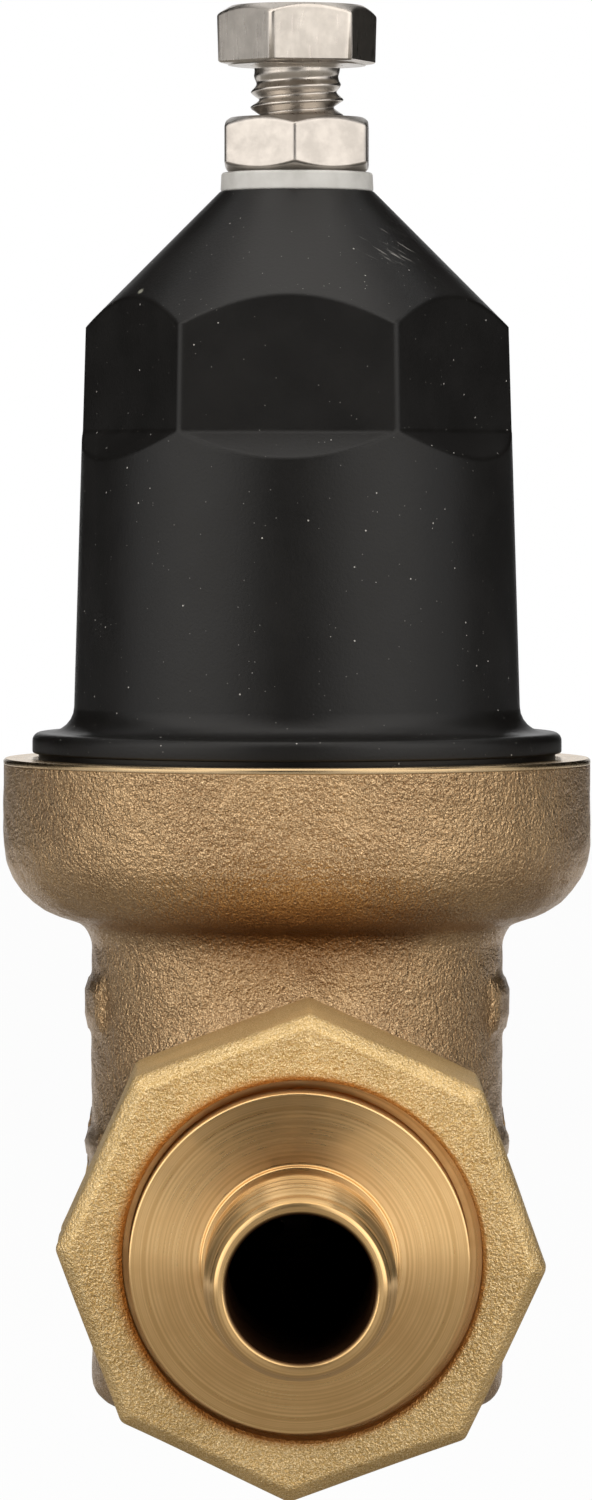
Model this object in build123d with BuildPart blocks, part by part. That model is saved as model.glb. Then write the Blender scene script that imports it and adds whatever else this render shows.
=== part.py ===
from build123d import *
import math
import os

# Direct acting pressure reducing valve with a double union, all sizes in millimetres.
# The origin is where the valve axis (Z, up) crosses the pipe run (Y, inlet at -Y).
# Screw threads are plain cylinders of the thread's size, with a named clearance.

# ---- clearances -----------------------------------------------------------------------
fixed_gap = 0.02        # between two curved faces that stay together
running_gap = 0.06      # stem in its guide, bolt in its nut
thread_gap = 0.10       # union and bonnet threads, radially
loose_gap = 0.60        # spring and spring buttons inside the bonnet

# ---- valve seat, stem and strainer ----------------------------------------------------
stem_radius = 3.0
stem_tail_radius = 2.0          # lower threaded end
stem_head_radius = 2.4          # upper threaded end
orifice_radius = 5.6
nozzle_wall = 1.0
nozzle_height = 1.1
seat_height = 10.9              # nozzle edge above the pipe run
valve_lift = 2.5
disc_radius = 7.4
disc_thickness = 2.8
disc_rim_step = 1.0             # holder wall below the top of the rubber disc
holder_wall = 1.2
holder_floor = 1.6
retainer_radius = 4.0
retainer_thickness = 0.8
disc_nut_flats = 7.0
disc_nut_height = 2.4
strainer_gap = 0.7              # disc holder to strainer
strainer_wall = 0.6
strainer_hole_radius = 0.9
strainer_rows = 5
strainer_holes_per_row = 14
chamber_gap = 0.9               # strainer to the body, for the flow round it

# ---- cartridge ------------------------------------------------------------------------
seal_section = 1.7
seal_groove_width = 2.5
cartridge_neck = 8.0            # length of its lower, smaller part
cartridge_step = 1.4            # how much wider the threaded part is
cartridge_wall = 3.1
crown_height = 2.3
crown_slot = 10.0
guide_height = 3.0
guide_hub_radius = 5.4
guide_arm = 3.0

# ---- body -----------------------------------------------------------------------------
partition = 2.0                 # between the cartridge bore and the outlet passage
passage_width = 3.8
passage_sweep = 70.0            # degrees round the valve axis
body_wall = 2.65
body_floor = 4.0
chamber_floor_depth = 15.5      # lower chamber below the pipe run
bottom_edge_round = 2.6
neck_fillet = 0.7
diaphragm_seat = 36.6           # above the pipe run
diaphragm_chamber_depth = 4.1
roll_room = 0.6                 # diaphragm's roll to the wall of the cup's chamber
cup_floor = 3.2
cup_ledge = 0.85
cup_wall = 3.4
rim_height = 9.0                # rim above the diaphragm seat
rim_round = 0.8
port_bore = 9.5
arrow_height = 0.65             # raised cast flow arrows
arrow_length = 17.0
arrow_width = 6.0
arrow_level = 7.0
bar_level = 21.0
bar_length = 15.0
bar_width = 4.6

# ---- union ----------------------------------------------------------------------------
union_thread_radius = 19.35
union_thread_length = 12.4
union_nut_wall = 1.83           # at the middle of a flat
nut_setback = 4.75              # nut behind its thread, clear of the body
relief_length = 3.6
relief_depth = 1.15
boss_step = 0.75                # cast boss inside the thread's crests
boss_fillet = 1.6
gasket_thickness = 2.0
collar_step = 1.05              # tailpiece collar inside the nut's thread
collar_length = 3.5
nut_lip = 3.0
hub_step = 2.25
hub_gap = 0.95
hub_proud = 3.3
nut_corner_round = 1.8
nut_end_chamfer = 1.4
nut_turn = -2.5                 # a corner close to the top

# ---- barb for 3/4 in crimp-ring tube --------------------------------------------------
barb_bore = 6.75
barb_root = 8.3
barb_ridge = 8.9
barb_shoulder_length = 1.2
barb_length = 20.6
barb_ridges = 4
barb_pitch = 4.2
ridge_land = 0.9
ridge_ramp = 1.1
tip_chamfer = 0.8

# ---- diaphragm and its plates ---------------------------------------------------------
bonnet_thread_radius = 26.0
diaphragm_thickness = 1.6
roll_radius = 1.1
friction_ring_thickness = 1.2
friction_ring_bore = 20.4
plate_radius = 12.5
plate_thickness = 1.2
diaphragm_nut_flats = 8.0
diaphragm_nut_height = 3.8
stem_end_proud = 1.0

# ---- adjusting spring and its buttons -------------------------------------------------
spring_wire = 4.2
spring_mean_radius = 13.0
spring_turns = 5.5
spring_seat_gap = 0.05
button_overhang = 1.1
button_thickness = 3.0
button_boss_height = 3.0
upper_button_thickness = 2.5
button_drop = 21.9              # upper button's top below the bonnet's top

# ---- bonnet ---------------------------------------------------------------------------
bonnet_height = 56.3            # from the lip's underside to the top
lip_gap = 0.5
lip_thickness = 2.1
lip_step = 0.6
lip_round = 0.9
bonnet_wall = 4.48
bonnet_draft = 1.2              # wider at the foot than at the shoulder
foot_fillet = 2.5
crown_radius = 7.7
cone_wall = 3.4
ceiling_drop = 7.9
flat_depth = 2.83
flat_drop = 24.1                # flats end this far below the top
flat_runout_drop = 3.1
flat_turn = -3.0                # the bonnet stops where its thread is tight
insert_radius = 6.5
insert_flange_radius = 8.5
insert_flange = 2.0

# ---- adjusting bolt, 3/8-16 -----------------------------------------------------------
bolt_radius = 4.7625
bolt_flats = 14.29
bolt_head_height = 5.97
bolt_turn = 11.3
bolt_tip_chamfer = 0.9
washer_radius = 7.7
washer_thickness = 1.9
lock_nut_height = 5.5
lock_nut_turn = 28.2
thread_showing = 5.5
hex_chamfer = 0.75

# ---- bias spring ----------------------------------------------------------------------
bias_wire = 1.0
bias_mean_radius = 6.4
bias_turns = 5.0
base_thickness = 2.0
base_boss_height = 2.0

# ---- worked out -----------------------------------------------------------------------
holder_radius = disc_radius + fixed_gap + holder_wall
strainer_bore = holder_radius + strainer_gap
strainer_radius = strainer_bore + strainer_wall
lower_chamber_radius = strainer_radius + chamber_gap
cartridge_radius = lower_chamber_radius - thread_gap
cartridge_bore_radius = lower_chamber_radius + cartridge_step
upper_cartridge_radius = cartridge_bore_radius - thread_gap
passage_inside = cartridge_bore_radius + partition
passage_middle = passage_inside + passage_width / 2
barrel_radius = passage_inside + passage_width + body_wall

disc_top = seat_height - valve_lift
disc_bottom = disc_top - disc_thickness
holder_bottom = disc_bottom - holder_floor
stem_shoulder = disc_top + retainer_thickness
cartridge_bottom = seat_height + nozzle_height
cartridge_shoulder = cartridge_bottom + cartridge_neck
chamber_floor = diaphragm_seat - diaphragm_chamber_depth
base_bottom = -chamber_floor_depth
base_top = base_bottom + base_thickness

body_bottom = -chamber_floor_depth - body_floor
cup_bore_radius = bonnet_thread_radius + thread_gap
cup_radius = cup_bore_radius + cup_wall
rim_top = diaphragm_seat + rim_height
cup_bottom = chamber_floor - cup_floor
cup_round = cup_radius - barrel_radius - cup_ledge
cup_centre = cup_radius - cup_round

nut_back = barrel_radius + nut_setback
thread_start = nut_back + relief_length
thread_end = thread_start + union_thread_length
collar_back = thread_end + gasket_thickness
lip_back = collar_back + collar_length
nut_front = lip_back + nut_lip
hub_front = nut_front + hub_proud
barb_start = hub_front + barb_shoulder_length
barb_end = barb_start + barb_length
boss_radius = union_thread_radius - boss_step
collar_radius = union_thread_radius - collar_step
hub_radius = collar_radius - hub_step
nut_bore = union_thread_radius + thread_gap
nut_half_flats = nut_bore + union_nut_wall
nut_corner = (nut_half_flats + nut_corner_round) / math.cos(math.pi / 8) - nut_corner_round

diaphragm_top = diaphragm_seat + diaphragm_thickness
bonnet_foot = diaphragm_top + friction_ring_thickness
plate_bottom = diaphragm_seat - plate_thickness
button_top = diaphragm_top + button_thickness
boss_top = button_top + button_boss_height
stem_top = boss_top + diaphragm_nut_height + stem_end_proud
spring_outside = spring_mean_radius + spring_wire / 2
spring_inside = spring_mean_radius - spring_wire / 2
button_radius = spring_outside + button_overhang
roll_centre = (button_radius + friction_ring_bore) / 2
chamber_radius = roll_centre + roll_radius + roll_room
bonnet_bore = button_radius + loose_gap
bonnet_radius = bonnet_bore + bonnet_wall
bonnet_foot_radius = bonnet_radius + bonnet_draft
lip_bottom = rim_top + lip_gap
lip_top = lip_bottom + lip_thickness
bonnet_top = lip_bottom + bonnet_height
shoulder_height = bonnet_top - (bonnet_radius - crown_radius)
ceiling = bonnet_top - ceiling_drop
inner_cone = bonnet_radius + shoulder_height - cone_wall * math.sqrt(2)   # radius plus height
flat_half = bonnet_radius - flat_depth
flat_end = bonnet_top - flat_drop
upper_button_top = bonnet_top - button_drop
upper_button_bottom = upper_button_top - upper_button_thickness

washer_top = bonnet_top + washer_thickness
lock_nut_top = washer_top + lock_nut_height
head_bottom = lock_nut_top + thread_showing
head_top = head_bottom + bolt_head_height
shank_radius = bolt_radius - running_gap

os.makedirs("parts", exist_ok=True)


def finish(piece, name):
    """Name a finished piece and write it to its own file."""
    piece.label = name
    export_step(piece, f"parts/{name}.step")


def ring(inner, outer, bottom, top):
    """A plain ring round the valve axis, as a rectangle turned once."""
    with BuildPart() as made:
        with BuildSketch(Plane.XZ) as section:
            with Locations(((inner + outer) / 2, (bottom + top) / 2)):
                Rectangle(outer - inner, top - bottom)
        revolve(axis=Axis.Z)
    return made.part


def hex_nut(flats, bore, bottom, top, turn, corner_chamfer):
    """A hexagon nut whose corners are turned off at both ends."""
    corner = flats / math.sqrt(3)
    with BuildPart() as made:
        with BuildSketch(Plane.XY.offset(bottom)) as outline:
            RegularPolygon(flats / 2, 6, major_radius=False, rotation=turn)
            Circle(bore, mode=Mode.SUBTRACT)
        extrude(amount=top - bottom)
        with BuildSketch(Plane.XZ) as turned:
            with BuildLine():
                Polyline(
                    (0, bottom),
                    (flats / 2, bottom),
                    (corner, bottom + corner_chamfer),
                    (corner, top - corner_chamfer),
                    (flats / 2, top),
                    (0, top),
                    close=True,
                )
            make_face()
        revolve(axis=Axis.Z, mode=Mode.INTERSECT)
    return made.part


def coil(wire, mean_radius, bottom, top, turns):
    """A compression spring round the valve axis with both ends ground flat."""
    rise = top - bottom
    pitch = rise / turns
    with BuildPart() as made:
        with BuildLine() as path:
            Helix(pitch=pitch, height=rise, radius=mean_radius, center=(0, 0, bottom))
        with BuildSketch(Plane(path.line @ 0, z_dir=path.line % 0)) as section:
            Circle(wire / 2)
        sweep(path=path.line, is_frenet=True)
        with BuildSketch(Plane.XY.offset(bottom)) as slab:
            Circle(mean_radius + wire)
        extrude(amount=rise, mode=Mode.INTERSECT)
    return made.part


# ---- body: cast cup, barrel and two threaded port bosses ------------------------------
with BuildPart() as body:
    with BuildSketch(Plane.XZ) as profile:
        with BuildLine() as outline:
            Line((0, body_bottom), (barrel_radius, body_bottom))
            Line((barrel_radius, body_bottom), (barrel_radius, cup_bottom))
            Line((barrel_radius, cup_bottom), (cup_centre, cup_bottom))
            RadiusArc(
                (cup_centre, cup_bottom),
                (cup_radius, cup_bottom + cup_round),
                -cup_round,
            )
            Line((cup_radius, cup_bottom + cup_round), (cup_radius, rim_top))
            Line((cup_radius, rim_top), (0, rim_top))
            Line((0, rim_top), (0, body_bottom))
        make_face()
        fillet(profile.vertices().sort_by_distance((barrel_radius, body_bottom))[0], bottom_edge_round)
        fillet(profile.vertices().sort_by_distance((cup_radius, rim_top))[0], rim_round)
        fillet(profile.vertices().sort_by_distance((barrel_radius, cup_bottom))[0], neck_fillet)
    revolve(axis=Axis.Z)
    with BuildSketch(Plane.XZ) as boss_round:
        Circle(boss_radius)
    extrude(amount=thread_start, both=True)
    joint_edges = body.edges().filter_by(
        lambda e: e.geom_type not in (GeomType.CIRCLE, GeomType.LINE)
        and abs(e.center().Y) < barrel_radius
    )
    fillet(joint_edges, boss_fillet)
    for side in (-1, 1):
        with BuildSketch(Plane.XY) as thread:
            with BuildLine():
                Polyline(
                    (0, side * (thread_start - relief_length / 2)),
                    (union_thread_radius - relief_depth, side * (thread_start - relief_length / 2)),
                    (union_thread_radius - relief_depth, side * thread_start),
                    (union_thread_radius, side * (thread_start + relief_depth)),
                    (union_thread_radius, side * (thread_end - relief_depth)),
                    (union_thread_radius - relief_depth, side * thread_end),
                    (0, side * thread_end),
                    close=True,
                )
            make_face()
        revolve(axis=Axis.Y)
    # raised arrow and bar on each cheek, cut to a round face just proud of the barrel
    with BuildPart(mode=Mode.PRIVATE) as marks:
        with BuildSketch(Plane.YZ) as mark_outline:
            with Locations((0, bar_level)):
                Rectangle(bar_length, bar_width)
            with Locations((-arrow_width / 2, arrow_level)):
                Rectangle(arrow_length - arrow_width, arrow_width / 3)
            with BuildLine():
                Polyline(
                    (arrow_length / 2, arrow_level),
                    (arrow_length / 2 - arrow_width, arrow_level + arrow_width / 2),
                    (arrow_length / 2 - arrow_width, arrow_level - arrow_width / 2),
                    close=True,
                )
            make_face()
        extrude(amount=2 * barrel_radius, both=True)
        with BuildSketch(Plane.XY.offset(body_bottom)) as shell:
            Circle(barrel_radius + arrow_height)
            Circle(passage_middle, mode=Mode.SUBTRACT)
        extrude(amount=rim_top - body_bottom, mode=Mode.INTERSECT)
    add(marks.part)
    # cavities: diaphragm cup, cartridge bore, lower chamber, ports and outlet passage
    with BuildSketch(Plane.XZ) as cavity:
        with BuildLine():
            Polyline(
                (0, base_bottom),
                (lower_chamber_radius, base_bottom),
                (lower_chamber_radius, cartridge_shoulder),
                (cartridge_bore_radius, cartridge_shoulder),
                (cartridge_bore_radius, chamber_floor),
                (chamber_radius, chamber_floor),
                (chamber_radius, diaphragm_seat),
                (cup_bore_radius, diaphragm_seat),
                (cup_bore_radius, rim_top + 1),
                (0, rim_top + 1),
                close=True,
            )
        make_face()
    revolve(axis=Axis.Z, mode=Mode.SUBTRACT)
    with BuildSketch(Plane.XZ) as inlet_bore:
        Circle(port_bore)
    extrude(amount=thread_end + 1, mode=Mode.SUBTRACT)
    with BuildSketch(Plane.XZ.offset(-passage_inside)) as outlet_bore:
        Circle(port_bore)
    extrude(amount=-(thread_end - passage_inside + 1), mode=Mode.SUBTRACT)
    with BuildSketch(Plane.XY) as passage:
        first_angle = 90 - passage_sweep / 2
        passage_line = CenterArc(
            (0, 0), passage_middle, first_angle, passage_sweep, mode=Mode.PRIVATE
        )
        SlotArc(passage_line, passage_width)
    extrude(amount=chamber_floor + 1, mode=Mode.SUBTRACT)
finish(body.part, "body")

# ---- bonnet: moulded spring cage with wrench flats ------------------------------------
with BuildPart() as bonnet:
    with BuildSketch(Plane.XZ) as shell_profile:
        with BuildLine():
            Polyline(
                (0, bonnet_foot),
                (bonnet_thread_radius, bonnet_foot),
                (bonnet_thread_radius, lip_bottom),
                (bonnet_thread_radius + lip_step, lip_bottom),
                (bonnet_thread_radius + lip_step, lip_top),
                (bonnet_foot_radius, lip_top),
                (bonnet_radius, shoulder_height),
                (crown_radius, bonnet_top),
                (0, bonnet_top),
                close=True,
            )
        make_face()
        fillet(
            shell_profile.vertices().sort_by_distance((bonnet_foot_radius, lip_top))[0],
            foot_fillet,
        )
        fillet(
            shell_profile.vertices().sort_by_distance(
                (bonnet_thread_radius + lip_step, lip_top)
            )[0],
            lip_round,
        )
    revolve(axis=Axis.Z)
    reach = 2 * bonnet_thread_radius
    run_out = flat_runout_drop / (bonnet_radius - flat_half + bonnet_draft / 3)
    for flat in range(6):
        across = Plane.XZ.rotated((0, 0, 30 + flat_turn + 60 * flat))
        with BuildSketch(across) as cutter:
            with BuildLine():
                Polyline(
                    (flat_half, flat_end),
                    (flat_half, bonnet_top + 1),
                    (reach, bonnet_top + 1),
                    (reach, flat_end - (reach - flat_half) * run_out),
                    close=True,
                )
            make_face()
        extrude(amount=bonnet_thread_radius, both=True, mode=Mode.SUBTRACT)
    with BuildSketch(Plane.XZ) as hollow:
        with BuildLine():
            Polyline(
                (0, bonnet_foot - 1),
                (bonnet_bore, bonnet_foot - 1),
                (bonnet_bore, inner_cone - bonnet_bore),
                (inner_cone - ceiling, ceiling),
                (0, ceiling),
                close=True,
            )
        make_face()
    revolve(axis=Axis.Z, mode=Mode.SUBTRACT)
    with BuildSketch(Plane.XY.offset(ceiling - 1)) as insert_hole:
        Circle(insert_radius + fixed_gap)
    extrude(amount=bonnet_top - ceiling + 2, mode=Mode.SUBTRACT)
finish(bonnet.part, "bonnet")

# ---- bonnet insert: threaded brass bush moulded into the crown ------------------------
with BuildPart() as bolt_insert:
    with BuildSketch(Plane.XZ) as insert_profile:
        with BuildLine():
            Polyline(
                (bolt_radius, ceiling - insert_flange),
                (insert_flange_radius, ceiling - insert_flange),
                (insert_flange_radius, ceiling),
                (insert_radius, ceiling),
                (insert_radius, bonnet_top),
                (bolt_radius, bonnet_top),
                close=True,
            )
        make_face()
    revolve(axis=Axis.Z)
finish(bolt_insert.part, "bolt_insert")

# ---- adjusting bolt, its lock nut and the sealing washer ------------------------------
bolt_corner = bolt_flats / math.sqrt(3)
with BuildPart() as adjusting_bolt:
    with BuildSketch(Plane.XY.offset(head_bottom)) as head:
        RegularPolygon(bolt_flats / 2, 6, major_radius=False, rotation=bolt_turn)
    extrude(amount=bolt_head_height)
    with BuildSketch(Plane.XZ) as head_turned:
        with BuildLine():
            Polyline(
                (0, head_bottom),
                (bolt_corner, head_bottom),
                (bolt_corner, head_top - hex_chamfer),
                (bolt_flats / 2 - hex_chamfer, head_top),
                (0, head_top),
                close=True,
            )
        make_face()
    revolve(axis=Axis.Z, mode=Mode.INTERSECT)
    with BuildSketch(Plane.XY.offset(upper_button_top)) as shank:
        Circle(shank_radius)
    extrude(amount=head_bottom - upper_button_top)
    tip_edges = adjusting_bolt.edges().filter_by(GeomType.CIRCLE).group_by(Axis.Z)[0]
    chamfer(tip_edges, bolt_tip_chamfer)
finish(adjusting_bolt.part, "adjusting_bolt")

lock_nut = hex_nut(bolt_flats, bolt_radius, washer_top, lock_nut_top, lock_nut_turn, hex_chamfer)
finish(lock_nut, "lock_nut")

sealing_washer = ring(bolt_radius, washer_radius, bonnet_top, washer_top)
finish(sealing_washer, "sealing_washer")

# ---- adjusting spring between its two buttons -----------------------------------------
with BuildPart() as upper_spring_button:
    with BuildSketch(Plane.XY.offset(upper_button_bottom)) as upper_plate:
        Circle(button_radius)
    extrude(amount=upper_button_thickness)
    with BuildSketch(Plane.XY.offset(upper_button_bottom)) as upper_boss:
        Circle(spring_inside - loose_gap)
    extrude(amount=-button_boss_height)
finish(upper_spring_button.part, "upper_spring_button")

adjusting_spring = coil(
    spring_wire,
    spring_mean_radius,
    button_top + spring_seat_gap,
    upper_button_bottom - spring_seat_gap,
    spring_turns,
)
finish(adjusting_spring, "adjusting_spring")

with BuildPart() as lower_spring_button:
    with BuildSketch(Plane.XY.offset(diaphragm_top)) as lower_plate:
        Circle(button_radius)
    extrude(amount=button_thickness)
    with BuildSketch(Plane.XY.offset(button_top)) as lower_boss:
        Circle(spring_inside - loose_gap)
    extrude(amount=button_boss_height)
    with BuildSketch(Plane.XY.offset(diaphragm_top)) as button_bore:
        Circle(stem_head_radius + fixed_gap)
    extrude(amount=boss_top - diaphragm_top, mode=Mode.SUBTRACT)
finish(lower_spring_button.part, "lower_spring_button")

# ---- diaphragm with its roll, friction ring, plate and nut ----------------------------
with BuildPart() as diaphragm:
    with BuildSketch(Plane.XZ) as sheet:
        with Locations(((stem_head_radius + thread_gap + bonnet_thread_radius) / 2, 0)):
            with Locations((0, diaphragm_seat + diaphragm_thickness / 2)):
                Rectangle(
                    bonnet_thread_radius - stem_head_radius - thread_gap,
                    diaphragm_thickness,
                )
        with Locations((roll_centre, diaphragm_seat)):
            Circle(roll_radius)
        with Locations((roll_centre, diaphragm_top)):
            Circle(roll_radius, mode=Mode.SUBTRACT)
    revolve(axis=Axis.Z)
finish(diaphragm.part, "diaphragm")

friction_ring = ring(friction_ring_bore, bonnet_thread_radius, diaphragm_top, bonnet_foot)
finish(friction_ring, "friction_ring")

diaphragm_plate = ring(
    stem_head_radius + fixed_gap, plate_radius, plate_bottom, diaphragm_seat
)
finish(diaphragm_plate, "diaphragm_plate")

diaphragm_nut = hex_nut(
    diaphragm_nut_flats,
    stem_head_radius + fixed_gap,
    boss_top,
    boss_top + diaphragm_nut_height,
    0,
    hex_chamfer / 2,
)
finish(diaphragm_nut, "diaphragm_nut")

# ---- stem, valve disc and its holder --------------------------------------------------
stem_bottom = holder_bottom - disc_nut_height - stem_end_proud / 2
with BuildPart() as stem:
    with BuildSketch(Plane.XZ) as stem_profile:
        with BuildLine():
            Polyline(
                (0, stem_bottom),
                (stem_tail_radius, stem_bottom),
                (stem_tail_radius, stem_shoulder),
                (stem_radius, stem_shoulder),
                (stem_radius, plate_bottom),
                (stem_head_radius, plate_bottom),
                (stem_head_radius, stem_top),
                (0, stem_top),
                close=True,
            )
        make_face()
    revolve(axis=Axis.Z)
    chamfer(stem.edges().group_by(Axis.Z)[-1], stem_end_proud / 2)
finish(stem.part, "stem")

tail_bore = stem_tail_radius + fixed_gap
finish(ring(tail_bore, retainer_radius, disc_top, stem_shoulder), "disc_retainer")
finish(ring(tail_bore, disc_radius, disc_bottom, disc_top), "seat_disc")

with BuildPart() as disc_holder:
    with BuildSketch(Plane.XZ) as holder_profile:
        with BuildLine():
            Polyline(
                (tail_bore, holder_bottom),
                (holder_radius, holder_bottom),
                (holder_radius, disc_top - disc_rim_step),
                (holder_radius - holder_wall, disc_top - disc_rim_step),
                (holder_radius - holder_wall, disc_bottom),
                (tail_bore, disc_bottom),
                close=True,
            )
        make_face()
    revolve(axis=Axis.Z)
finish(disc_holder.part, "disc_holder")

disc_nut = hex_nut(
    disc_nut_flats,
    tail_bore,
    holder_bottom - disc_nut_height,
    holder_bottom,
    0,
    hex_chamfer / 2,
)
finish(disc_nut, "disc_nut")

# ---- seat cartridge with its seal, and the stem guide ---------------------------------
cartridge_top = chamber_floor + crown_height
seal_level = cartridge_bottom + cartridge_neck / 2
groove_radius = lower_chamber_radius - seal_section
neck_bore = groove_radius - nozzle_wall
guide_bottom = (cartridge_shoulder + chamber_floor - guide_height) / 2
with BuildPart() as seat_cartridge:
    with BuildSketch(Plane.XZ) as cartridge_profile:
        with BuildLine():
            Polyline(
                (orifice_radius, seat_height),
                (orifice_radius + nozzle_wall, seat_height),
                (orifice_radius + nozzle_wall, cartridge_bottom),
                (cartridge_radius, cartridge_bottom),
                (cartridge_radius, seal_level - seal_groove_width / 2),
                (groove_radius, seal_level - seal_groove_width / 2),
                (groove_radius, seal_level + seal_groove_width / 2),
                (cartridge_radius, seal_level + seal_groove_width / 2),
                (cartridge_radius, cartridge_shoulder),
                (upper_cartridge_radius, cartridge_shoulder),
                (upper_cartridge_radius, cartridge_top),
                (upper_cartridge_radius - cartridge_wall, cartridge_top),
                (upper_cartridge_radius - cartridge_wall, cartridge_shoulder),
                (neck_bore, cartridge_shoulder),
                (neck_bore, cartridge_bottom + nozzle_wall),
                (orifice_radius, cartridge_bottom + nozzle_wall),
                close=True,
            )
        make_face()
    revolve(axis=Axis.Z)
    with BuildSketch(Plane.XY.offset(guide_bottom)) as guide:
        Circle(guide_hub_radius)
        Rectangle(2 * upper_cartridge_radius - cartridge_wall, guide_arm)
        Rectangle(guide_arm, 2 * upper_cartridge_radius - cartridge_wall)
        Circle(stem_radius + running_gap, mode=Mode.SUBTRACT)
    extrude(amount=guide_height)
    with BuildSketch(Plane.XY.offset(chamber_floor)) as crown_slots:
        Rectangle(3 * upper_cartridge_radius, crown_slot)
        Rectangle(crown_slot, 3 * upper_cartridge_radius)
    extrude(amount=crown_height + 1, mode=Mode.SUBTRACT)
finish(seat_cartridge.part, "seat_cartridge")

with BuildPart() as cartridge_seal:
    with BuildSketch(Plane.XZ) as seal_section_round:
        with Locations((lower_chamber_radius - seal_section / 2, seal_level)):
            Circle(seal_section / 2 - fixed_gap)
    revolve(axis=Axis.Z)
finish(cartridge_seal.part, "cartridge_seal")

# ---- strainer screen, its base and the bias spring ------------------------------------
strainer_height = cartridge_bottom - base_top
with BuildPart() as strainer_screen:
    with BuildSketch(Plane.XY.offset(base_top)) as screen_ring:
        Circle(strainer_radius)
        Circle(strainer_bore, mode=Mode.SUBTRACT)
    extrude(amount=strainer_height)
    row_pitch = strainer_height / strainer_rows
    half_turn = 180 / strainer_holes_per_row
    for row in range(strainer_rows):
        level = base_top + row_pitch * (row + 0.5)
        for hole in range(strainer_holes_per_row):
            angle = half_turn * (2 * hole + row % 2)
            with BuildSketch(Plane((0, 0, level), z_dir=Vector(1, 0, 0).rotate(Axis.Z, angle))):
                Circle(strainer_hole_radius)
            extrude(amount=strainer_radius + 1, mode=Mode.SUBTRACT)
finish(strainer_screen.part, "strainer_screen")

with BuildPart() as strainer_base:
    with BuildSketch(Plane.XY.offset(base_bottom)) as base_plate:
        Circle(strainer_radius)
    extrude(amount=base_thickness)
    with BuildSketch(Plane.XY.offset(base_top)) as base_boss:
        Circle(bias_mean_radius - bias_wire)
    extrude(amount=base_boss_height)
finish(strainer_base.part, "strainer_base")

bias_spring = coil(
    bias_wire,
    bias_mean_radius,
    base_top + spring_seat_gap,
    holder_bottom - spring_seat_gap,
    bias_turns,
)
finish(bias_spring, "bias_spring")

# ---- the two unions: gasket, tailpiece with barb, and union nut -----------------------
ridge_start = barb_end - tip_chamfer - barb_pitch * barb_ridges
for port, side in (("inlet", -1), ("outlet", 1)):
    with BuildPart() as union_gasket:
        with BuildSketch(Plane.XZ.offset(-side * thread_end)) as gasket_ring:
            Circle(union_thread_radius - relief_depth)
            Circle(port_bore, mode=Mode.SUBTRACT)
        extrude(amount=-side * gasket_thickness)
    finish(union_gasket.part, f"union_gasket_{port}")

    with BuildPart() as tailpiece:
        with BuildSketch(Plane.XY) as tail_profile:
            with BuildLine():
                outline = [
                    (port_bore, collar_back),
                    (collar_radius, collar_back),
                    (collar_radius, lip_back),
                    (hub_radius, lip_back),
                    (hub_radius, hub_front - tip_chamfer / 2),
                    (hub_radius - tip_chamfer / 2, hub_front),
                    (barb_ridge + tip_chamfer / 2, hub_front),
                    (barb_ridge + tip_chamfer / 2, barb_start),
                    (barb_root, barb_start),
                ]
                for ridge in range(barb_ridges):
                    foot = ridge_start + barb_pitch * ridge
                    outline += [
                        (barb_root, foot),
                        (barb_ridge, foot),
                        (barb_ridge, foot + ridge_land),
                        (barb_root, foot + ridge_land + ridge_ramp),
                    ]
                outline += [
                    (barb_root, barb_end - tip_chamfer),
                    (barb_root - tip_chamfer / 2, barb_end),
                    (barb_bore, barb_end),
                    (barb_bore, nut_front),
                ]
                Polyline(*[(r, side * y) for r, y in outline], close=True)
            make_face()
        revolve(axis=Axis.Y)
    finish(tailpiece.part, f"tailpiece_{port}")

    with BuildPart() as union_nut:
        with BuildSketch(Plane.XZ.offset(-side * nut_back)) as octagon:
            RegularPolygon(nut_half_flats, 8, major_radius=False, rotation=nut_turn)
            fillet(octagon.vertices(), nut_corner_round)
            Circle(nut_bore, mode=Mode.SUBTRACT)
        extrude(amount=-side * (lip_back - nut_back))
        with BuildSketch(Plane.XZ.offset(-side * lip_back)) as lip:
            RegularPolygon(nut_half_flats, 8, major_radius=False, rotation=nut_turn)
            fillet(lip.vertices(), nut_corner_round)
            Circle(hub_radius + hub_gap, mode=Mode.SUBTRACT)
        extrude(amount=-side * nut_lip)
        with BuildSketch(Plane.XY) as nut_turned:
            with BuildLine():
                Polyline(
                    (0, side * nut_back),
                    (nut_corner - nut_end_chamfer, side * nut_back),
                    (nut_corner, side * (nut_back + nut_end_chamfer)),
                    (nut_corner, side * (nut_front - nut_end_chamfer)),
                    (nut_corner - nut_end_chamfer, side * nut_front),
                    (0, side * nut_front),
                    close=True,
                )
            make_face()
        revolve(axis=Axis.Y, mode=Mode.INTERSECT)
    finish(union_nut.part, f"union_nut_{port}")
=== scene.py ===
import math

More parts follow.
